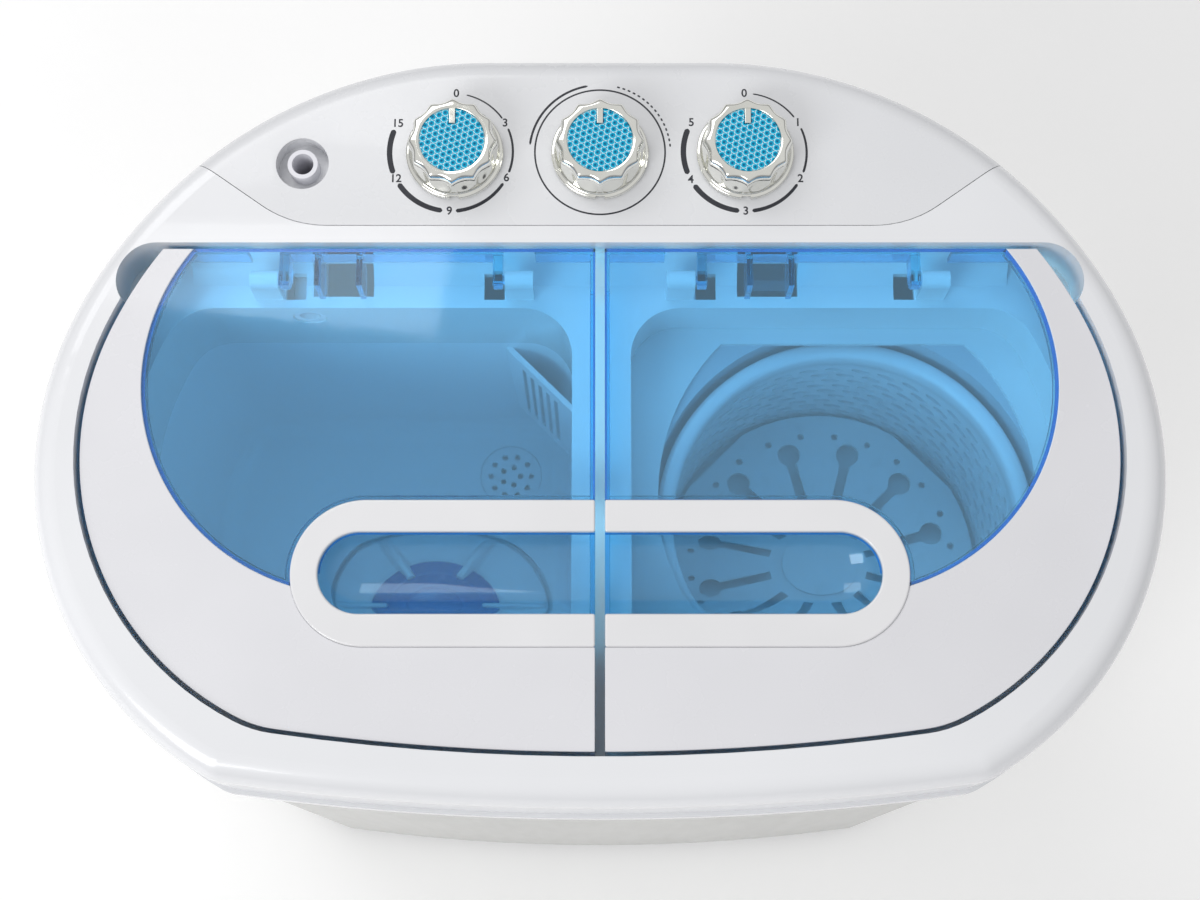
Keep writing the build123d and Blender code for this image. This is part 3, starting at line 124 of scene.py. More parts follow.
def two_tone(tree, value, dark, light):
    """Colour that goes from dark to light as value goes from 0 to 1."""
    mix = tree.nodes.new("ShaderNodeMix")
    mix.data_type = "RGBA"
    mix.inputs[6].default_value = dark
    mix.inputs[7].default_value = light
    tree.links.new(value, mix.inputs[0])
    return mix.outputs[2]


def relief(tree, shader, value, depth, strength=1.0):
    """Fine relief of the given depth in metres."""
    bump = tree.nodes.new("ShaderNodeBump")
    bump.inputs["Strength"].default_value = strength
    bump.inputs["Distance"].default_value = depth
    tree.links.new(value, bump.inputs["Height"])
    tree.links.new(bump.outputs["Normal"], shader.inputs["Normal"])


def plain_finish(name, dark, light, rough, grain=(9.0, 900.0), depth=2e-5, metal=0.0, coat=0.0,
                 stretch=(1.0, 1.0, 1.0), detail=3.0):
    """Finish whose tone and roughness drift slowly over the piece, while a finer grain gives its relief."""
    material, tree, shader = new_material(name)
    drift = cloud(tree, grain[0], detail, stretch)
    tree.links.new(two_tone(tree, between(tree, drift, 0.0, 1.0), dark, light), shader.inputs["Base Color"])
    wear = cloud(tree, grain[0] * 7.0, 4.0, stretch)
    tree.links.new(between(tree, wear, *rough), shader.inputs["Roughness"])
    relief(tree, shader, cloud(tree, grain[1], 2.0, stretch), depth)
    shader.inputs["Metallic"].default_value = metal
    shader.inputs["Coat Weight"].default_value = coat
    shader.inputs["Coat Roughness"].default_value = 0.06
    return material


floor_mesh = bpy.data.meshes.new("studio_floor")
floor_mesh.from_pydata([(-6, -6, 0), (6, -6, 0), (6, 6, 0), (-6, 6, 0)], [], [(0, 1, 2, 3)])
floor = bpy.data.objects.new("studio_floor", floor_mesh)
scene.collection.objects.link(floor)
floor_paint = plain_finish("floor_paint", linear(247, 247, 247), linear(251, 251, 251), (0.75, 0.85),
                           (3.0, 60.0), 1e-4)
floor_light = floor_paint.node_tree.nodes["Principled BSDF"]
floor_light.inputs["Emission Color"].default_value = (1.0, 1.0, 1.0, 1.0)
floor_light.inputs["Emission Strength"].default_value = 0.10
floor_mesh.materials.append(floor_paint)


# Deck: one glossy white ABS moulding with a domed rim, the well for the lids and the tub collars.
# Injection moulded, so every edge has a small radius. Screwed down on the cabinet.
def merged(node):
    """Points and faces of a CAD node, with the points of its loose triangles brought together on a grid of a
    tenth of a micrometre."""
    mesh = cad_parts[node].data
    points = np.empty(len(mesh.vertices) * 3)
    mesh.vertices.foreach_get("co", points)
    corners = np.empty(len(mesh.loops), int)
    mesh.loops.foreach_get("vertex_index", corners)
    grid = np.round(points.reshape(-1, 3) * 1e7).astype(np.int64)
    key, where = np.unique(grid, axis=0, return_inverse=True)
    faces = where.reshape(-1)[corners].reshape(-1, 3)
    whole = (faces[:, 0] != faces[:, 1]) & (faces[:, 1] != faces[:, 2]) & (faces[:, 2] != faces[:, 0])
    return key * 1e-7, faces[whole]


def placed(name, points, faces, material, body, slot, *nodes, crease=35.0):
    """Puts points and faces, in metres, into a new smooth piece that rides on a body and replaces nodes."""
    mesh = bpy.data.meshes.new(name)
    mesh.from_pydata(np.asarray(points, float).tolist(), [], [list(map(int, f)) for f in faces])
    mesh.update()
    mesh.materials.append(material)
    mesh.shade_smooth()
    mesh.set_sharp_from_angle(angle=math.radians(crease))
    piece = bpy.data.objects.new(name, mesh)
    scene.collection.objects.link(piece)
    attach(piece, body)
    if nodes:
        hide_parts(*nodes)
    return piece


smooth_turn = math.radians(35.0)


def rounded(piece, radius, steps=2):
    """Rounds the edges of a piece that turn by more than smooth_turn."""
    bevel = piece.modifiers.new("edge_radius", "BEVEL")
    bevel.width, bevel.segments = radius, steps
    bevel.limit_method, bevel.angle_limit = "ANGLE", smooth_turn
    bevel.miter_outer = "MITER_ARC"
    bevel.harden_normals = True
    return piece


def moulded(node, material, body, slot, radius, steps=2):
    """A CAD node as a moulding: triangles joined, flat faces made whole and edges given a radius."""
    points, faces = merged(node)
    piece = placed(node + "_moulding", points, faces, material, body, slot, node)
    work = bmesh.new()
    work.from_mesh(piece.data)
    bmesh.ops.dissolve_limit(work, angle_limit=math.radians(0.05), verts=work.verts, edges=work.edges)
    work.to_mesh(piece.data)
    work.free()
    piece.data.set_sharp_from_angle(angle=smooth_turn)
    return rounded(piece, radius, steps) if radius else piece


deck_white = plain_finish("deck_white_gloss", linear(231, 232, 235), linear(236, 237, 240), (0.20, 0.27),
                          (6.0, 420.0), 4e-6, coat=0.45)
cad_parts["top_deck"].data.materials[0] = deck_white


# Control panel: a separate, slightly greyer ABS moulding set into the deck behind a fine seam.
# The dial scales are pad printed on it in black ink.
panel_grey = plain_finish("panel_pale_grey", linear(225, 226, 229), linear(230, 231, 234), (0.24, 0.32),
                          (7.0, 500.0), 4e-6, coat=0.35)
moulded("control_panel", panel_grey, "chassis", "panel_grey", 0.0004)

panel_tilt = math.radians(4.0)
rim_level = 0.540
bend_middle = 0.1035
bend_radius = 0.150
bend_end = bend_middle + bend_radius * math.sin(panel_tilt) / 2
knob_row = 0.143
knob_pitch = 0.0774


def panel_height(y):
    """Height of the tilted panel's face at depth y: the rim's height, the bend's rise, then the slope."""
    return rim_level + bend_radius * (1 - math.cos(panel_tilt)) + (y - bend_end) * math.tan(panel_tilt)


def on_panel(points, x, y):
    """Turns points by the panel's tilt about X and moves them to a place on its face."""
    px, py, pz = np.asarray(points, float).T
    cosine, sine = math.cos(panel_tilt), math.sin(panel_tilt)
    return np.stack([px + x, py * cosine - pz * sine + y, py * sine + pz * cosine + panel_height(y)], 1)


def strip(outer, inner, low, high, shut=False):
    """A plate between two plan curves of as many points: a loop of four points at each step along them, with
    both ends closed, or with the last step joined to the first where shut."""
    count = len(outer)
    lows, highs = np.full((count, 1), low), np.full((count, 1), high)
    loop = np.stack([np.hstack([outer, lows]), np.hstack([outer, highs]),
                     np.hstack([inner, highs]), np.hstack([inner, lows])], 1)
    step = np.arange(count if shut else count - 1)[:, None]
    side = np.arange(4)[None]
    near, far = step * 4, (step + 1) % count * 4
    after = (side + 1) % 4
    faces = np.stack([near + side, near + after, far + after, far + side], -1).reshape(-1, 4).tolist()
    if not shut:
        faces += [[3, 2, 1, 0], [4 * count - 4 + k for k in range(4)]]
    return outward(loop.reshape(-1, 3), faces)


def outward(points, faces):
    """The same closed skin, with its faces turned round if their summed cone volume comes out negative."""
    volume = 0.0
    for size in {len(f) for f in faces}:
        same = np.array([f for f in faces if len(f) == size])
        first = points[same[:, 0]]
        for k in range(1, size - 1):
            volume += np.einsum("ij,ij->", first, np.cross(points[same[:, k]], points[same[:, k + 1]]))
    return points, (faces if volume > 0 else [list(f)[::-1] for f in faces])


def together(*skins):
    """Several skins as one list of points and one of faces."""
    points, faces, start = [], [], 0
    for some, shapes in skins:
        points.append(np.asarray(some, float))
        faces += [[start + int(k) for k in f] for f in shapes]
        start += len(some)
    return np.vstack(points), faces


def bow(cx, cy, radius, start, end, count):
    """Plan points on an arc: centre plus radius times (cosine, sine) of angles spread evenly, in degrees."""
    angle = np.radians(np.linspace(start, end, count))
    return np.stack([cx + radius * np.cos(angle), cy + radius * np.sin(angle)], 1)


ink_high = 4e-5
scale_radius = 0.0329
number_height, number_swell = 0.0062, 0.00012


def ink_arc(start, end, thin, thick, radius=scale_radius, count=40):
    """Printed arc by clock angles from twelve o'clock. Its width grows evenly from thin to thick, and both
    ends are round."""
    turn = np.linspace(start, end, count)
    share = (turn - turn[0]) / (turn[-1] - turn[0])
    width = thin + (thick - thin) * share
    tip = np.minimum(share, 1 - share) * math.radians(abs(end - start)) * radius / (width / 2)
    half = width / 2 * np.sqrt(np.clip(1 - (1 - np.clip(tip, 0.02, 1)) ** 2, 0, 1))
    angle = np.radians(90 - turn)
    direction = np.stack([np.cos(angle), np.sin(angle)], 1)
    outer, inner = direction * (radius + half)[:, None], direction * (radius - half)[:, None]
    return strip(outer, inner, -ink_high / 2, ink_high)


def ink_figure(text, turn):
    """A number of the scale, flat on the panel and upright, centred at a clock angle."""
    curve = bpy.data.curves.new("scale_number", "FONT")
    curve.body, curve.size, curve.extrude, curve.offset = text, number_height, ink_high / 2, number_swell
    curve.align_x, curve.align_y = "CENTER", "CENTER"
    holder = bpy.data.objects.new("scale_number", curve)
    scene.collection.objects.link(holder)
    bpy.context.view_layer.update()
    mesh = bpy.data.meshes.new_from_object(holder.evaluated_get(bpy.context.evaluated_depsgraph_get()))
    points = np.empty(len(mesh.vertices) * 3)
    mesh.vertices.foreach_get("co", points)
    faces = [list(f.vertices) for f in mesh.polygons]
    bpy.data.objects.remove(holder)
    angle = math.radians(90 - turn)
    middle = [scale_radius * math.cos(angle), scale_radius * math.sin(angle), ink_high / 2]
    return points.reshape(-1, 3) + middle, faces


ink_black = plain_finish("scale_ink", linear(34, 36, 44), linear(46, 48, 56), (0.45, 0.6),
                         (60.0, 1500.0), 4e-6)


scale_row = knob_row + 0.001


def printed(name, x, *skins):
    """Ink on the panel around the knob at x."""
    points, faces = together(*skins)
    return placed(name, on_panel(points, x, scale_row), faces, ink_black, "chassis", "panel_grey")


def timer_scale(name, x, arcs, numbers):
    """Scale of a timer. Its arcs get bolder, a row of widths each, as they go round clockwise from zero, and
    a number stands in each gap between them."""
    widths = ((0.0007, 0.0009), (0.0011, 0.0013), (0.0016, 0.0021), (0.0026, 0.0029), (0.0029, 0.0030))
    skins = [ink_arc(*arc, *width) for arc, width in zip(arcs, widths)]
    return printed(name, x, *skins, *[ink_figure(text, turn) for text, turn in numbers])


timer_scale("wash_scale", -0.0794, ((13.5, 55.5), (66.5, 110.5), (122, 175), (187.5, 237.5), (248.5, 292)),
            (("0", 4), ("3", 60.5), ("6", 116), ("9", 181), ("12", 243), ("15", 299)))
timer_scale("spin_scale", knob_pitch, ((8, 54), (66, 110.5), (123, 174), (186, 236), (248, 293)),
            (("0", 0), ("1", 60), ("2", 117), ("3", 180), ("4", 242), ("5", 300)))

ring_radius, ring_bore, outer_arc = 0.0352, 0.0343, 0.0376
dashes = [ink_arc(a, a + 2.6, 0.0009, 0.0009, outer_arc, 10) for a in np.arange(14, 84, 4.6)]
ring = bow(0, 0, ring_radius, 0, 360, 161)[:-1]
selector_ring = strip(ring, ring * (ring_bore / ring_radius), -ink_high / 2, ink_high, shut=True)
printed("selector_scale", 0.0, selector_ring, ink_arc(276, 350, 0.0012, 0.0012, outer_arc), *dashes)


# Knobs: bright plated ABS with twelve scooped flutes and a thin base flange, pressed on their spindles.
# A blue jewelled cap is set into each top, and the pointer rib of the knob shows through it.
def turned(profile, count, ripple=None):
    """Skin of a profile of (radius, height) rows turned about Z, whose first and last rows are poles on the
    axis. ripple, a (rows, count) array, is added to the radius."""
    profile = np.asarray(profile, float)
    angle = np.linspace(0, 2 * np.pi, count, endpoint=False)
    radius = profile[1:-1, :1] + (0 if ripple is None else ripple[1:-1])
    radius = np.broadcast_to(radius, (len(profile) - 2, count))
    level = np.broadcast_to(profile[1:-1, 1:2], radius.shape)
    body = np.stack([radius * np.cos(angle), radius * np.sin(angle), level], -1).reshape(-1, 3)
    points = np.vstack([[[0, 0, profile[0, 1]]], body, [[0, 0, profile[-1, 1]]]])
    return outward(points, tube_faces(len(profile) - 2, count))


def tube_faces(rows, count):
    """Faces of a grid of rows around an axis, numbered from 1, with point 0 below it and one more above."""
    row, column = np.arange(rows - 1)[:, None], np.arange(count)[None]
    after = (column + 1) % count
    quads = 1 + np.stack([row * count + column, row * count + after, (row + 1) * count + after,
                          (row + 1) * count + column], -1).reshape(-1, 4)
    column, after = column[0], after[0]
    last = 1 + (rows - 1) * count
    under = np.stack([np.zeros(count, int), 1 + after, 1 + column], 1)
    over = np.stack([np.full(count, last + count), last + column, last + after], 1)
    return quads.tolist() + under.tolist() + over.tolist()


# radius, height, share of the flute's depth and share of the notch at each row of the knob, in millimetres
knob_rows = np.array([
    (0, 16.2, 0, 0), (19, 16.2, 0, 0), (19, 0.8, 0, 0), (19.2, 0.6, 0, 0), (25.5, 0.6, 0, 1),
    (25.95, 1.0, 0, 1), (25.95, 2.6, 0, 1), (25.75, 3.1, 0, 1), (25.3, 3.4, 0, 1), (24.7, 3.55, 0, 0),
    (24.1, 3.8, 0, 0), (23.75, 4.3, 0, 0), (23.65, 5.2, 0.04, 0), (23.65, 6.2, 0.16, 0),
    (23.65, 7.6, 0.36, 0), (23.65, 9.4, 0.6, 0), (23.65, 11.4, 0.8, 0), (23.65, 13.6, 0.94, 0),
    (23.6, 16.0, 1, 0), (23.5, 18.0, 1, 0), (23.3, 19.3, 1, 0), (22.9, 20.4, 0.98, 0), (22.4, 21.1, 0.92, 0),
    (21.7, 21.65, 0.8, 0), (20.9, 22.0, 0.58, 0), (20.0, 22.17, 0.3, 0), (19.0, 22.2, 0.08, 0),
    (17.7, 22.2, 0, 0), (17.35, 22.05, 0, 0), (17.15, 21.7, 0, 0), (17.1, 20.2, 0, 0), (0, 20.2, 0, 0),
]) * [1e-3, 1e-3, 1, 1]


def knob_skin():
    """Turned profile whose radius loses, between twelve rounded ridges, a scoop that follows the sine of six
    times the angle without its sign, and loses a little at the flange's notch at six o'clock."""
    count, scoop_depth, blunt, notch_depth = 384, 0.0017, 0.03, 0.0015
    angle = np.linspace(0, 2 * np.pi, count, endpoint=False)
    wave = np.abs(np.sin(6 * angle))
    scoop = np.sqrt(wave ** 2 + blunt) - math.sqrt(blunt)
    scoop = scoop_depth * scoop / (math.sqrt(1 + blunt) - math.sqrt(blunt))
    notch = np.where(np.abs(angle - 1.5 * np.pi) < math.radians(5.5), notch_depth, 0)
    return turned(knob_rows[:, :2], count, -(knob_rows[:, 2:3] * scoop + knob_rows[:, 3:4] * notch))


cap_radius, cap_level, cap_floor = 0.0168, 0.0212, 0.02025
pointer_half, pointer_start, pointer_end = 0.0016, 0.0090, 0.0172


def cap_skin():
    """Disc of hexagonal domes on a slanted lattice: the height is the rim's height plus a dome of the
    distance to the nearest lattice point, less a pit at its middle, and a slot is left for the pointer. Also
    gives each point's distance to its lattice point, from 0 at the middle to 1 half way to the next."""
    count = 360
    radius = np.concatenate([[0], np.linspace(0.00025, cap_radius, 84), [0.01695, 0.01695, 0]])
    angle = np.linspace(0, 2 * np.pi, count, endpoint=False)
    x, y = radius[:, None] * np.cos(angle), radius[:, None] * np.sin(angle)
    pitch, tall, lean = 0.0035, 0.0035 * math.sqrt(3), math.radians(20)
    u, v = x * math.cos(lean) + y * math.sin(lean), y * math.cos(lean) - x * math.sin(lean)

    def off(along, step, shift):
        """Distance along one axis to the nearest point of a lattice of that step, moved by shift."""
        return (along + shift * step / 2 + step / 2) % step - step / 2

    near = [np.hypot(off(u, pitch, shift), off(v, tall, shift)) for shift in (0, 1)]
    near = np.minimum(*near) / (pitch / 2)
    dome, pit = np.sqrt(np.clip(1 - 0.8 * near ** 2, 0, 1)), np.exp(-(near / 0.34) ** 2)
    level = cap_level + 0.0007 * dome - 0.00045 * pit
    level = np.where((np.abs(x) < pointer_half + 0.0002) & (y > pointer_start - 0.0002), 0.0208, level)
    level[radius > 0.0167] = 0.0214
    level[-2:] = cap_floor
    points = np.stack([x, y, level], -1)
    body = points[1:-1].reshape(-1, 3)
    whole = np.vstack([[[0, 0, level[0, 0]]], body, [[0, 0, level[-1, 0]]]])
    share = np.concatenate([near[0, :1], near[1:-1].ravel(), near[-1, :1]])
    return *outward(whole, tube_faces(len(radius) - 2, count)), share


knob_chrome, tree, shader = new_material("knob_bright_plating")
shader.inputs["Metallic"].default_value = 1.0
cast = between(tree, cloud(tree, 60.0), 0.0, 1.0)
plating = two_tone(tree, cast, linear(236, 236, 229), linear(246, 246, 240))
tree.links.new(plating, shader.inputs["Base Color"])
tree.links.new(between(tree, cloud(tree, 240.0, 4.0), 0.05, 0.11), shader.inputs["Roughness"])
relief(tree, shader, cloud(tree, 120.0, 1.0), 4e-6)

cap_blue, tree, shader = new_material("knob_cap_blue_painted_glint")
jewel = tree.nodes.new("ShaderNodeAttribute")
jewel.attribute_name = "jewel"
# Painted glint and shade: each dome's colour runs from a dark middle through a bright cyan ring to a darker
# edge. This stands in for the light that the lens-like domes gather and reflect.
painted_glint_ramp = tree.nodes.new("ShaderNodeValToRGB")
for place, tone in ((0.0, linear(0, 84, 122)), (0.30, linear(0, 116, 160)), (0.62, linear(0, 168, 208)),
                    (0.86, linear(0, 196, 230)), (1.0, linear(0, 124, 170))):
    (painted_glint_ramp.color_ramp.elements[0] if place == 0.0 else painted_glint_ramp.color_ramp.elements.new(place)).color = tone
tree.links.new(jewel.outputs["Fac"], painted_glint_ramp.inputs["Fac"])
tree.links.new(painted_glint_ramp.outputs["Color"], shader.inputs["Base Color"])
tree.links.new(between(tree, cloud(tree, 300.0), 0.08, 0.2), shader.inputs["Roughness"])
shader.inputs["Specular IOR Level"].default_value = 0.25

spindle_steel = plain_finish("ground_shaft_steel", linear(178, 180, 184), linear(198, 200, 204), (0.2, 0.34),
                             (40.0, 1800.0), 4e-6, metal=1.0, stretch=(1.0, 1.0, 0.1))
rib = np.array([[-pointer_half, pointer_start], [-pointer_half, pointer_end]])
for name, x in (("wash_timer", -knob_pitch), ("selector", 0.0), ("spin_timer", knob_pitch)):
    points, faces = knob_skin()
    placed(name + "_knob_skirt", on_panel(points, x, knob_row), faces, knob_chrome, name, "knob_chrome",
           name + "_knob", crease=50.0)
    points, faces = strip(rib, rib * [-1, 1], 0.0202, 0.02225)
    points = on_panel(points, x, knob_row)
    rounded(placed(name + "_pointer", points, faces, knob_chrome, name, "knob_chrome"), 0.0003)
    points, faces, share = cap_skin()
    cap = placed(name + "_cap_jewel", on_panel(points, x, knob_row), faces, cap_blue, name, "knob_blue",
                 name + "_cap", crease=75.0)
    cap.data.attributes.new("jewel", "FLOAT", "POINT").data.foreach_set("value", share)
    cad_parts[name + "_spindle"].data.materials[0] = spindle_steel


# Water inlet: a matte grey nozzle in the panel's round cup, with an elbow under it that leads to the tub.
# One injection moulding. The tap hose pushes onto the nozzle.
duct_grey = plain_finish("duct_matte_grey", linear(226, 226, 232), linear(234, 234, 240), (0.42, 0.55),
                         (30.0, 900.0), 2e-5)
moulded("inlet_duct", duct_grey, "chassis", "duct_grey", 0.0004)


# Lids: a clear blue styrene moulding with skirt, hinge arms and finger dish, under a white crescent trim.
# The half ring around the dish is a third, snapped-on moulding. The spin lid mirrors the wash lid.
def crossing(first, first_radius, second, second_radius):
    """Where two circles cross, on the side of larger x."""
    first, second = np.array(first), np.array(second)
    line = second - first
    gap = np.hypot(*line)
    along = (first_radius ** 2 - second_radius ** 2 + gap ** 2) / (2 * gap)
    off = math.sqrt(first_radius ** 2 - along ** 2)
    unit = line / gap
    across = off * np.array([-unit[1], unit[0]])
    return max((first + unit * along - across, first + unit * along + across), key=lambda p: p[0])


def bearing(centre, point):
    """Angle of a point seen from a centre, in degrees."""
    return math.degrees(math.atan2(point[1] - centre[1], point[0] - centre[0]))


lid_back, lid_middle = 0.09125, 0.0025
lid_side, side_radius = (0.109, -0.01375), 0.159
lid_rear, rear_radius = (0.056, -0.03525), 0.159 + math.hypot(0.053, 0.0215)
lid_front, front_radius = (0.0, 0.99215), 1.165
window, window_radius = (0.1225, 0.02125), 0.116
ring_end, ring_outer = (0.1192, -0.083), 0.0378
dish_end, dish_inner = (0.122, -0.083), 0.021
corner_radius = 0.060
corner = crossing(lid_side, side_radius - corner_radius, lid_front, front_radius - corner_radius)
meeting = crossing(window, window_radius, ring_end, ring_outer)
front_end = -90 + math.degrees(lid_middle / front_radius)
beside_ring, below_ring = (0.212, -0.128), (0.121, -0.166)
lid_seat, trim_top, ring_top, edge_top = 0.53502, 0.5375, 0.5387, 0.53516


def straight(start, end, count):
    """Plan points spread evenly from start to end."""
    return np.linspace(start, end, count)


def resampled(curve, count):
    """The same curve with count points spread evenly along its length."""
    walked = np.concatenate([[0], np.cumsum(np.hypot(*np.diff(curve, axis=0).T))])
    even = np.linspace(0, walked[-1], count)
    return np.stack([np.interp(even, walked, curve[:, k]) for k in (0, 1)], 1)


def trim_curves():
    """Outer and inner edge of the crescent, from the lid's back edge round the side to its middle edge. The
    outer follows rear arc, side arc, corner arc and front arc, and the inner follows the window's disc, the
    ring's end and the ring's straight side. The outer is spread anew in three parts, so that its points stay
    about opposite those of the inner."""
    back_angle = math.degrees(math.asin((lid_back - lid_rear[1]) / rear_radius))
    lean = bearing(lid_rear, lid_side)
    turn = bearing(lid_side, corner)
    low = bearing(lid_front, corner)
    outer = np.vstack([bow(*lid_rear, rear_radius, back_angle, lean, 60),
                       bow(*lid_side, side_radius, lean, turn, 160)[1:],
                       bow(*corner, corner_radius, turn, low, 60)[1:],
                       bow(*lid_front, front_radius, low, front_end, 80)[1:]])
    disc = bow(*window, window_radius, math.degrees(math.asin((lid_back - window[1]) / window_radius)),
               bearing(window, meeting), 110)
    end = bow(*ring_end, ring_outer, bearing(ring_end, meeting), -90, 28)[1:]
    ring_low = ring_end[1] - ring_outer
    flat = straight((ring_end[0], ring_low), (lid_middle, ring_low), 24)[1:]
    near = np.argmin(np.hypot(*(outer - beside_ring).T))
    under = np.argmin(np.hypot(*(outer - below_ring).T))
    parts = [resampled(outer[:near + 1], 110), resampled(outer[near:under + 1], 28)[1:],
             resampled(outer[under:], 24)[1:]]
    return np.vstack(parts), np.vstack([disc, end, flat])


def ring_curve(end, radius):
    """Half stadium that opens at the lid's middle edge: straight, half round about end, straight back."""
    top, low = end[1] + radius, end[1] - radius
    return np.vstack([straight((lid_middle, top), (end[0], top), 30), bow(*end, radius, 90, -90, 90)[1:-1],
                      straight((end[0], low), (lid_middle, low), 30)])


lid_white = plain_finish("lid_white_gloss", linear(222, 222, 226), linear(229, 229, 233), (0.22, 0.30),
                         (7.0, 480.0), 4e-6, coat=0.4)
handle_white = plain_finish("ring_white_gloss", linear(228, 228, 230), linear(234, 234, 236), (0.14, 0.2),
                            (11.0, 480.0), 4e-6, coat=0.6)

window_blue, tree, shader = new_material("lid_clear_blue")
shader.inputs["Base Color"].default_value = (0.46, 0.75, 1.0, 1.0)
shader.inputs["IOR"].default_value = 1.46
shader.inputs["Transmission Weight"].default_value = 0.93
tree.links.new(between(tree, cloud(tree, 40.0), 0.015, 0.05), shader.inputs["Roughness"])
relief(tree, shader, cloud(tree, 90.0, 1.0), 1.0e-5)
clear = tree.nodes.new("ShaderNodeBsdfTransparent")
clear.inputs["Color"].default_value = (1.0, 0.98, 1.0, 1.0)
path = tree.nodes.new("ShaderNodeLightPath")
choice = tree.nodes.new("ShaderNodeMixShader")
tree.links.new(path.outputs["Is Shadow Ray"], choice.inputs[0])
tree.links.new(shader.outputs[0], choice.inputs[1])
tree.links.new(clear.outputs[0], choice.inputs[2])
tree.links.new(choice.outputs[0], tree.nodes["Material Output"].inputs["Surface"])
dye = tree.nodes.new("ShaderNodeVolumeAbsorption")
dye.inputs["Color"].default_value = (0.02, 0.89, 0.99, 1.0)
dye.inputs["Density"].default_value = 95.0
tree.links.new(dye.outputs[0], tree.nodes["Material Output"].inputs["Volume"])

# Painted glow: opaque deep azure strips on the clear sheet stand in for the light that the sheet reflects
# inside itself and sends out at its cut edges.
painted_edge_glow = plain_finish("window_edge_painted_glow", linear(6, 112, 200), linear(16, 126, 212), (0.12, 0.2),
                          (40.0, 700.0), 1e-5, coat=0.3)


def glow_strip_curves():
    """Narrow plates of painted glow where the clear sheet ends. They paint on the deep azure that light
    reflected inside the sheet gives its cut edges, where the sheet's dye also looks deeper. They run along the
    disc beside the crescent, along the back and the middle edge, round the handle ring down to the crescent,
    and inside the ring's upper half. Each lies between a curve and the same curve moved by the width of the
    line."""
    back_angle = math.degrees(math.asin((lid_back - window[1]) / window_radius))
    far = bearing(window, meeting)
    disc = [bow(*window, r, back_angle, far, 90) for r in (window_radius - 0.0017, window_radius)]

    def half_ring(end, radius, low, count):
        """Straight from the middle edge to above end, then round end down to the angle low."""
        top = end[1] + radius
        run = straight((lid_middle, top), (end[0], top), 20)
        return np.vstack([run, bow(*end, radius, 90, low, count)[1:]])

    low = bearing(ring_end, meeting)
    around = [half_ring(ring_end, r, low, 50) for r in (ring_outer + 0.0007, ring_outer)]
    mouth = [half_ring(dish_end, r, 0, 40) for r in (dish_inner, dish_inner - 0.0009)]
    back_x = window[0] + window_radius * math.cos(math.radians(back_angle))
    back = [straight((lid_middle, y), (back_x, y), 20) for y in (lid_back, lid_back - 0.0014)]
    top = ring_end[1] + ring_outer
    middle = [straight((x, top), (x, lid_back), 20) for x in (lid_middle, lid_middle + 0.0011)]
    return disc, around, mouth, back, middle


outer_edge, inner_edge = trim_curves()
outer_ring, inner_ring = ring_curve(ring_end, ring_outer), ring_curve(dish_end, dish_inner)
for lid, side in (("spin_lid", 1.0), ("wash_lid", -1.0)):
    mirror = [side, 1]
    moulded(lid + "_window", window_blue, lid, "window_blue", 0.0003)
    # The window's edges get their strips of painted glow.
    points, faces = together(*[strip(a * mirror, b * mirror, lid_seat, edge_top) for a, b in glow_strip_curves()])
    placed(lid + "_window_painted_edge_glow", points, faces, painted_edge_glow, lid, "window_blue")
    points, faces = strip(outer_edge * mirror, inner_edge * mirror, lid_seat, trim_top)
    trim = placed(lid + "_trim_crescent", points, faces, lid_white, lid, "lid_white", lid + "_trim")
    rounded(trim, 0.0006, 3)
    points, faces = strip(outer_ring * mirror, inner_ring * mirror, lid_seat, ring_top)
    ring = placed(lid + "_handle_ring", points, faces, handle_white, lid, "lid_white", lid + "_handle")
    rounded(ring, 0.0011, 4)


# Wash side: a satin white tub hangs from the deck's collar, with a strainer and an overflow cover.
# The pulsator turns in its sump under a blue centre cap.
tub_white = plain_finish("tub_satin_white", linear(244, 244, 250), linear(249, 249, 254), (0.3, 0.4),
                         (5.0, 380.0), 2e-5, coat=0.15)
moulded("wash_tub", tub_white, "chassis", "tub_white", 0.0)
moulded("drain_strainer", tub_white, "chassis", "tub_white", 0.0003)
moulded("overflow_cover", tub_white, "chassis", "tub_white", 0.0005)


disc_top, disc_bottom, disc_middle = 0.288, 0.284, 0.2875
vane_half = 0.0032


def pulsator_skin():
    """Disc whose height is its own level plus, near each of six vanes, the vane's height at that radius times
    a round shoulder across it."""
    count = 432
    radius = np.concatenate([[0, 6.05, 6.05], np.linspace(8, 71, 50), [71.6, 72, 72, 71.5, 30, 0]]) * 1e-3
    angle = np.linspace(0, 2 * np.pi, count, endpoint=False)
    phase = (angle + np.pi / 6) % (np.pi / 3) - np.pi / 6
    across = np.abs(radius[:, None] * np.sin(phase))
    rise = np.interp(radius, np.array([28, 31, 46, 70, 71]) * 1e-3, np.array([0, 13, 13, 2, 0]) * 1e-3)
    shoulder = 1 / (1 + np.exp((across - vane_half) / 0.0005))
    level = disc_top + rise[:, None] * shoulder
    level[0:2] = disc_middle
    level[-6:] = np.array([0.2878, 0.2872, 0.2846, 0.2841, disc_bottom, disc_bottom])[:, None]
    body = np.stack([radius[:, None] * np.cos(angle), radius[:, None] * np.sin(angle), level], -1)
    whole = np.vstack([[[0, 0, disc_middle]], body[1:-1].reshape(-1, 3), [[0, 0, disc_bottom]]])
    return outward(whole, tube_faces(len(radius) - 2, count))


pulsator_centre = np.array([-0.105, -0.069, 0.0])
points, faces = pulsator_skin()
placed("pulsator_disc", points + pulsator_centre, faces, tub_white, "pulsator_unit", "tub_white", "pulsator",
       crease=60.0)

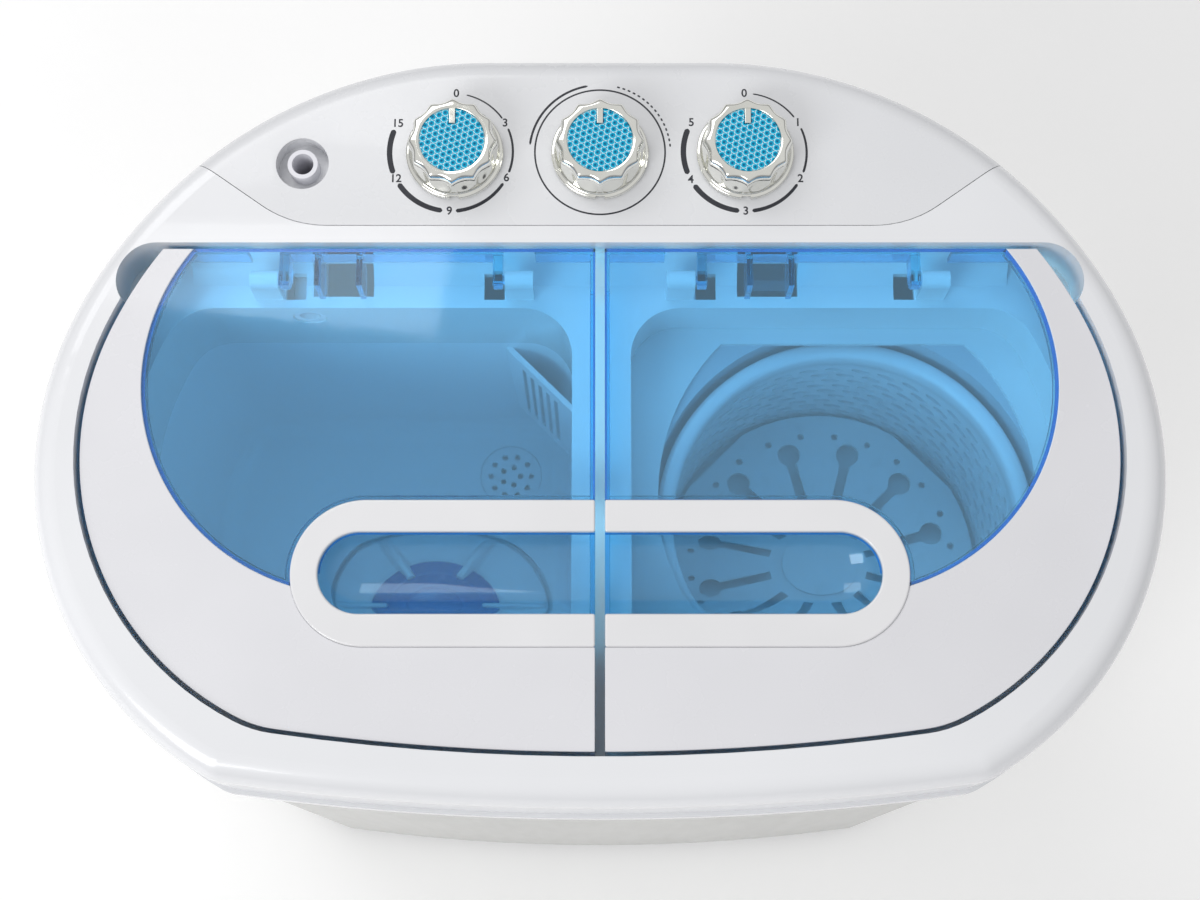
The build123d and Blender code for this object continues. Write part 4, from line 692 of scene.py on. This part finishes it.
# The cap's dome is the top of a ball that rises by cap_rise over cap_half, less two fine round grooves.
cap_half, cap_rise, cap_top = 0.041, 0.012, 0.303
ball = (cap_half ** 2 + cap_rise ** 2) / (2 * cap_rise)
cap_steps = np.linspace(0.0405, 0.0, 60)[1:]
outer_groove, inner_groove = (0.0006 * np.exp(-((cap_steps - r) / 0.0009) ** 2) for r in (0.030, 0.018))
dome = cap_top - ball + np.sqrt(ball ** 2 - cap_steps ** 2) - (outer_groove + inner_groove)
cap_profile = np.vstack([[(0, 0.2882), (0.0404, 0.2882), (cap_half, 0.2888), (cap_half, 0.2906)],
                         np.stack([cap_steps, dome], 1)])
cap_profile[-1, 0] = 0.0
centre_blue = plain_finish("pulsator_cap_blue", linear(10, 96, 176), linear(18, 116, 196), (0.2, 0.3),
                           (30.0, 700.0), 1.5e-5, coat=0.4)
points, faces = turned(cap_profile, 180)
placed("pulsator_centre_cap", points + pulsator_centre, faces, centre_blue, "pulsator_unit", "knob_blue",
       "pulsator_cap")


# Spin side: a perforated basket with a liquid-filled balance ring turns inside a fixed outer tub.
# The press plate lies on the clothes and lifts out.
basket_white = plain_finish("basket_satin_white", linear(240, 240, 246), linear(246, 246, 250), (0.28, 0.4),
                            (8.0, 420.0), 2e-5, coat=0.2)
plate_white = plain_finish("press_plate_white", linear(240, 240, 244), linear(246, 246, 250), (0.25, 0.36),
                           (9.0, 420.0), 2e-5, coat=0.2)
basket_centre = np.array([0.135, -0.0415, 0.0])


def pierced_wall(inner, outer, low, high, rows, columns, hole, slant):
    """Round wall cut by slanted oval holes in staggered rows. Each cell is a ring of twelve points on its edge
    and twelve on its hole, laid out flat, then wrapped round at the inner and at the outer radius."""
    edge = np.array([(0, 0), (0.25, 0), (0.5, 0), (0.75, 0), (1, 0), (1, 0.5),
                     (1, 1), (0.75, 1), (0.5, 1), (0.25, 1), (0, 1), (0, 0.5)])
    tall, wide = (high - low) / rows, 2 * np.pi * inner / columns
    angle = np.arctan2((edge[:, 1] - 0.5) * tall, (edge[:, 0] - 0.5) * wide)
    oval = np.stack([hole[0] * np.cos(angle), hole[1] * np.sin(angle)], 1)
    oval = oval @ np.array([[math.cos(slant), math.sin(slant)], [-math.sin(slant), math.cos(slant)]])
    oval = oval / [wide, tall] + 0.5
    row, column = np.meshgrid(np.arange(rows), np.arange(columns), indexing="ij")
    origin = np.stack([column + 0.5 * (row % 2), row], -1)[:, :, None]
    cells = np.stack([origin + edge, origin + oval], 2).reshape(-1, 2)
    cells[:, 0] %= columns
    key, where = np.unique(np.round(cells * 4096).astype(int), axis=0, return_inverse=True)
    flat, where = key / 4096, where.reshape(rows * columns, 2, 12)
    after = np.roll(where, -1, axis=2)
    tiles = np.stack([where[:, 0], after[:, 0], after[:, 1], where[:, 1]], -1).reshape(-1, 4)
    rims = np.stack([where[:, 1], after[:, 1]], -1).reshape(-1, 2)
    below = np.stack([where[:columns, 0, :4], after[:columns, 0, :4]], -1).reshape(-1, 2)[:, ::-1]
    above = np.stack([where[-columns:, 0, 6:10], after[-columns:, 0, 6:10]], -1).reshape(-1, 2)[:, ::-1]
    count = len(flat)
    round_ = flat[:, 0] * 2 * np.pi / columns
    level = low + flat[:, 1] * tall
    points = np.vstack([np.stack([r * np.cos(round_), r * np.sin(round_), level], 1) for r in (inner, outer)])
    walls = np.vstack([rims, below, above])
    walls = np.stack([walls[:, 0], walls[:, 1], walls[:, 1] + count, walls[:, 0] + count], 1)
    return points, np.vstack([tiles[:, ::-1], tiles + count, walls]).tolist()


def ringed(profile, count):
    """Skin of a closed profile of (radius, height) points carried once round Z."""
    profile = np.asarray(profile, float)
    angle = np.linspace(0, 2 * np.pi, count, endpoint=False)
    points = np.stack([profile[:, :1] * np.cos(angle), profile[:, :1] * np.sin(angle),
                       np.broadcast_to(profile[:, 1:], (len(profile), count))], -1).reshape(-1, 3)
    row, column = np.arange(len(profile))[:, None], np.arange(count)[None]
    nextrow, after = (row + 1) % len(profile), (column + 1) % count
    near, far = row * count, nextrow * count
    quads = np.stack([near + column, near + after, far + after, far + column], -1)
    return outward(points, quads.reshape(-1, 4).tolist())


# Profiles of basket and balance ring, radius and height in millimetres.
basket_rim = np.array([(95.5, 443.5), (95.5, 449.4), (96.1, 450), (101.4, 450), (102, 449.4), (102, 447.6),
                       (101.4, 447), (98, 446.4), (98, 443.5)]) * 1e-3
basket_foot = np.array([(0, 330), (97.4, 330), (98, 330.6), (98, 337.5), (95.5, 337.5), (95.5, 335.5),
                        (94.0, 333.6), (92, 333), (48, 333), (44, 333.4), (32, 343.6), (30, 344.6),
                        (0, 344.6)]) * 1e-3
balance = np.array([(94.5, 451), (94.9, 450.2), (103.4, 450.1), (104, 450.8), (104, 463), (103.2, 465.1),
                    (101.2, 466), (97.4, 466), (95.3, 465.1), (94.5, 463)]) * 1e-3
wall = pierced_wall(0.0955, 0.098, 0.3372, 0.4438, 10, 40, (0.0058, 0.0027), math.radians(14))
points, faces = together(wall, ringed(basket_rim, 160), turned(basket_foot, 160))
placed("spin_basket_shell", points + basket_centre, faces, basket_white, "basket_unit", "basket_white",
       "spin_basket")
points, faces = ringed(balance, 200)
placed("balance_ring_skin", points + basket_centre, faces, basket_white, "basket_unit", "basket_white",
       "balance_ring", crease=60.0)
moulded("press_plate", plate_white, "press_plate_unit", "basket_white", 0.0006)

# Painted shade: the outer tub's colour is greyer and bluer than the other white mouldings. It stands in for
# the shade on its wall deep inside the spin well.
outer_tub_white = plain_finish("outer_tub_white", linear(186, 192, 202), linear(198, 203, 212), (0.4, 0.52),
                               (7.0, 500.0), 3e-5)
moulded("spin_outer_tub", outer_tub_white, "chassis", "outer_tub_white", 0.0)


# Cabinet: pressed steel sheet with pale satin paint, a grey tray under it and four rubber feet.
# A louvred service cover is screwed on at the back.
def whole_finish(material, *nodes):
    """Gives CAD nodes whose shape is right their finish."""
    for node in nodes:
        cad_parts[node].data.materials[0] = material


cabinet_paint = plain_finish("cabinet_satin_paint", linear(196, 196, 193), linear(201, 201, 198),
                             (0.34, 0.42), (16.0, 260.0), 6e-5, coat=0.1, stretch=(1.0, 1.0, 0.12), detail=6.0)
tray_grey = plain_finish("tray_matte_grey", linear(120, 121, 124), linear(134, 135, 138), (0.5, 0.65),
                         (12.0, 500.0), 5e-5)
black_rubber = plain_finish("black_rubber", linear(32, 32, 33), linear(46, 46, 47), (0.6, 0.8),
                            (30.0, 700.0), 6e-5)
cover_grey = plain_finish("cover_matte_grey", linear(178, 180, 183), linear(190, 192, 195), (0.45, 0.6),
                          (12.0, 600.0), 5e-5)
screw_zinc = plain_finish("screw_bright_zinc", linear(196, 197, 200), linear(216, 217, 220), (0.2, 0.34),
                          (60.0, 900.0), 1e-5, metal=1.0)
moulded("cabinet_shell", cabinet_paint, "chassis", "cabinet_white", 0.0006)
moulded("base_tray", tray_grey, "chassis", "tray_grey", 0.0005)
moulded("rear_cover", cover_grey, "chassis", "cover_grey", 0.0005)
whole_finish(black_rubber, "foot_pads", "cable_gland", "drive_belt", "bellows_seal", "pulsator_seal",
             "spin_motor_mounts", "drain_hose")
whole_finish(screw_zinc, "case_screws")


# Works under the deck: timers, the two motors, the belt drive, the brake and the drain.
# Cast aluminium, zinc plated pressings, painted motor cans and matte mouldings.
timer_white = plain_finish("timer_nylon_white", linear(206, 206, 198), linear(218, 218, 210), (0.4, 0.55),
                           (40.0, 900.0), 2e-5)
cast_metal = plain_finish("cast_aluminium", linear(160, 162, 166), linear(186, 188, 192), (0.4, 0.58),
                          (60.0, 700.0), 1.2e-4, metal=0.9)
motor_paint = plain_finish("motor_can_paint", linear(74, 76, 80), linear(90, 92, 96), (0.35, 0.5),
                           (30.0, 500.0), 6e-5, metal=0.3)
zinc_sheet = plain_finish("zinc_plated_sheet", linear(168, 172, 176), linear(192, 195, 198), (0.28, 0.45),
                          (70.0, 400.0), 2e-5, metal=1.0, detail=6.0)
lever_grey = plain_finish("lever_dark_plastic", linear(66, 72, 82), linear(82, 88, 98), (0.4, 0.55),
                          (30.0, 600.0), 3e-5)
spring_wire = plain_finish("spring_wire", linear(150, 150, 154), linear(172, 172, 176), (0.25, 0.4),
                           (90.0, 900.0), 1e-5, metal=1.0)
capacitor_can = plain_finish("capacitor_can", linear(176, 178, 182), linear(194, 196, 200), (0.25, 0.38),
                             (24.0, 600.0), 1e-5, metal=0.9, stretch=(1.0, 1.0, 0.1))
whole_finish(timer_white, "timer_bodies", "selector_switch_body")
whole_finish(cast_metal, "bearing_housing", "basket_hub", "drive_pulley", "motor_pulley", "brake_drum")
whole_finish(motor_paint, "wash_motor", "spin_motor")
whole_finish(zinc_sheet, "motor_bracket", "spin_motor_plate", "brake_bracket", "brake_lever")
whole_finish(spindle_steel, "pulsator_shaft", "wash_motor_shaft", "spin_shaft")
whole_finish(duct_grey, "drain_spigot", "drain_valve_body")
whole_finish(lever_grey, "lid_rocker", "valve_plunger")
whole_finish(spring_wire, "valve_spring")
whole_finish(capacitor_can, "motor_capacitors")
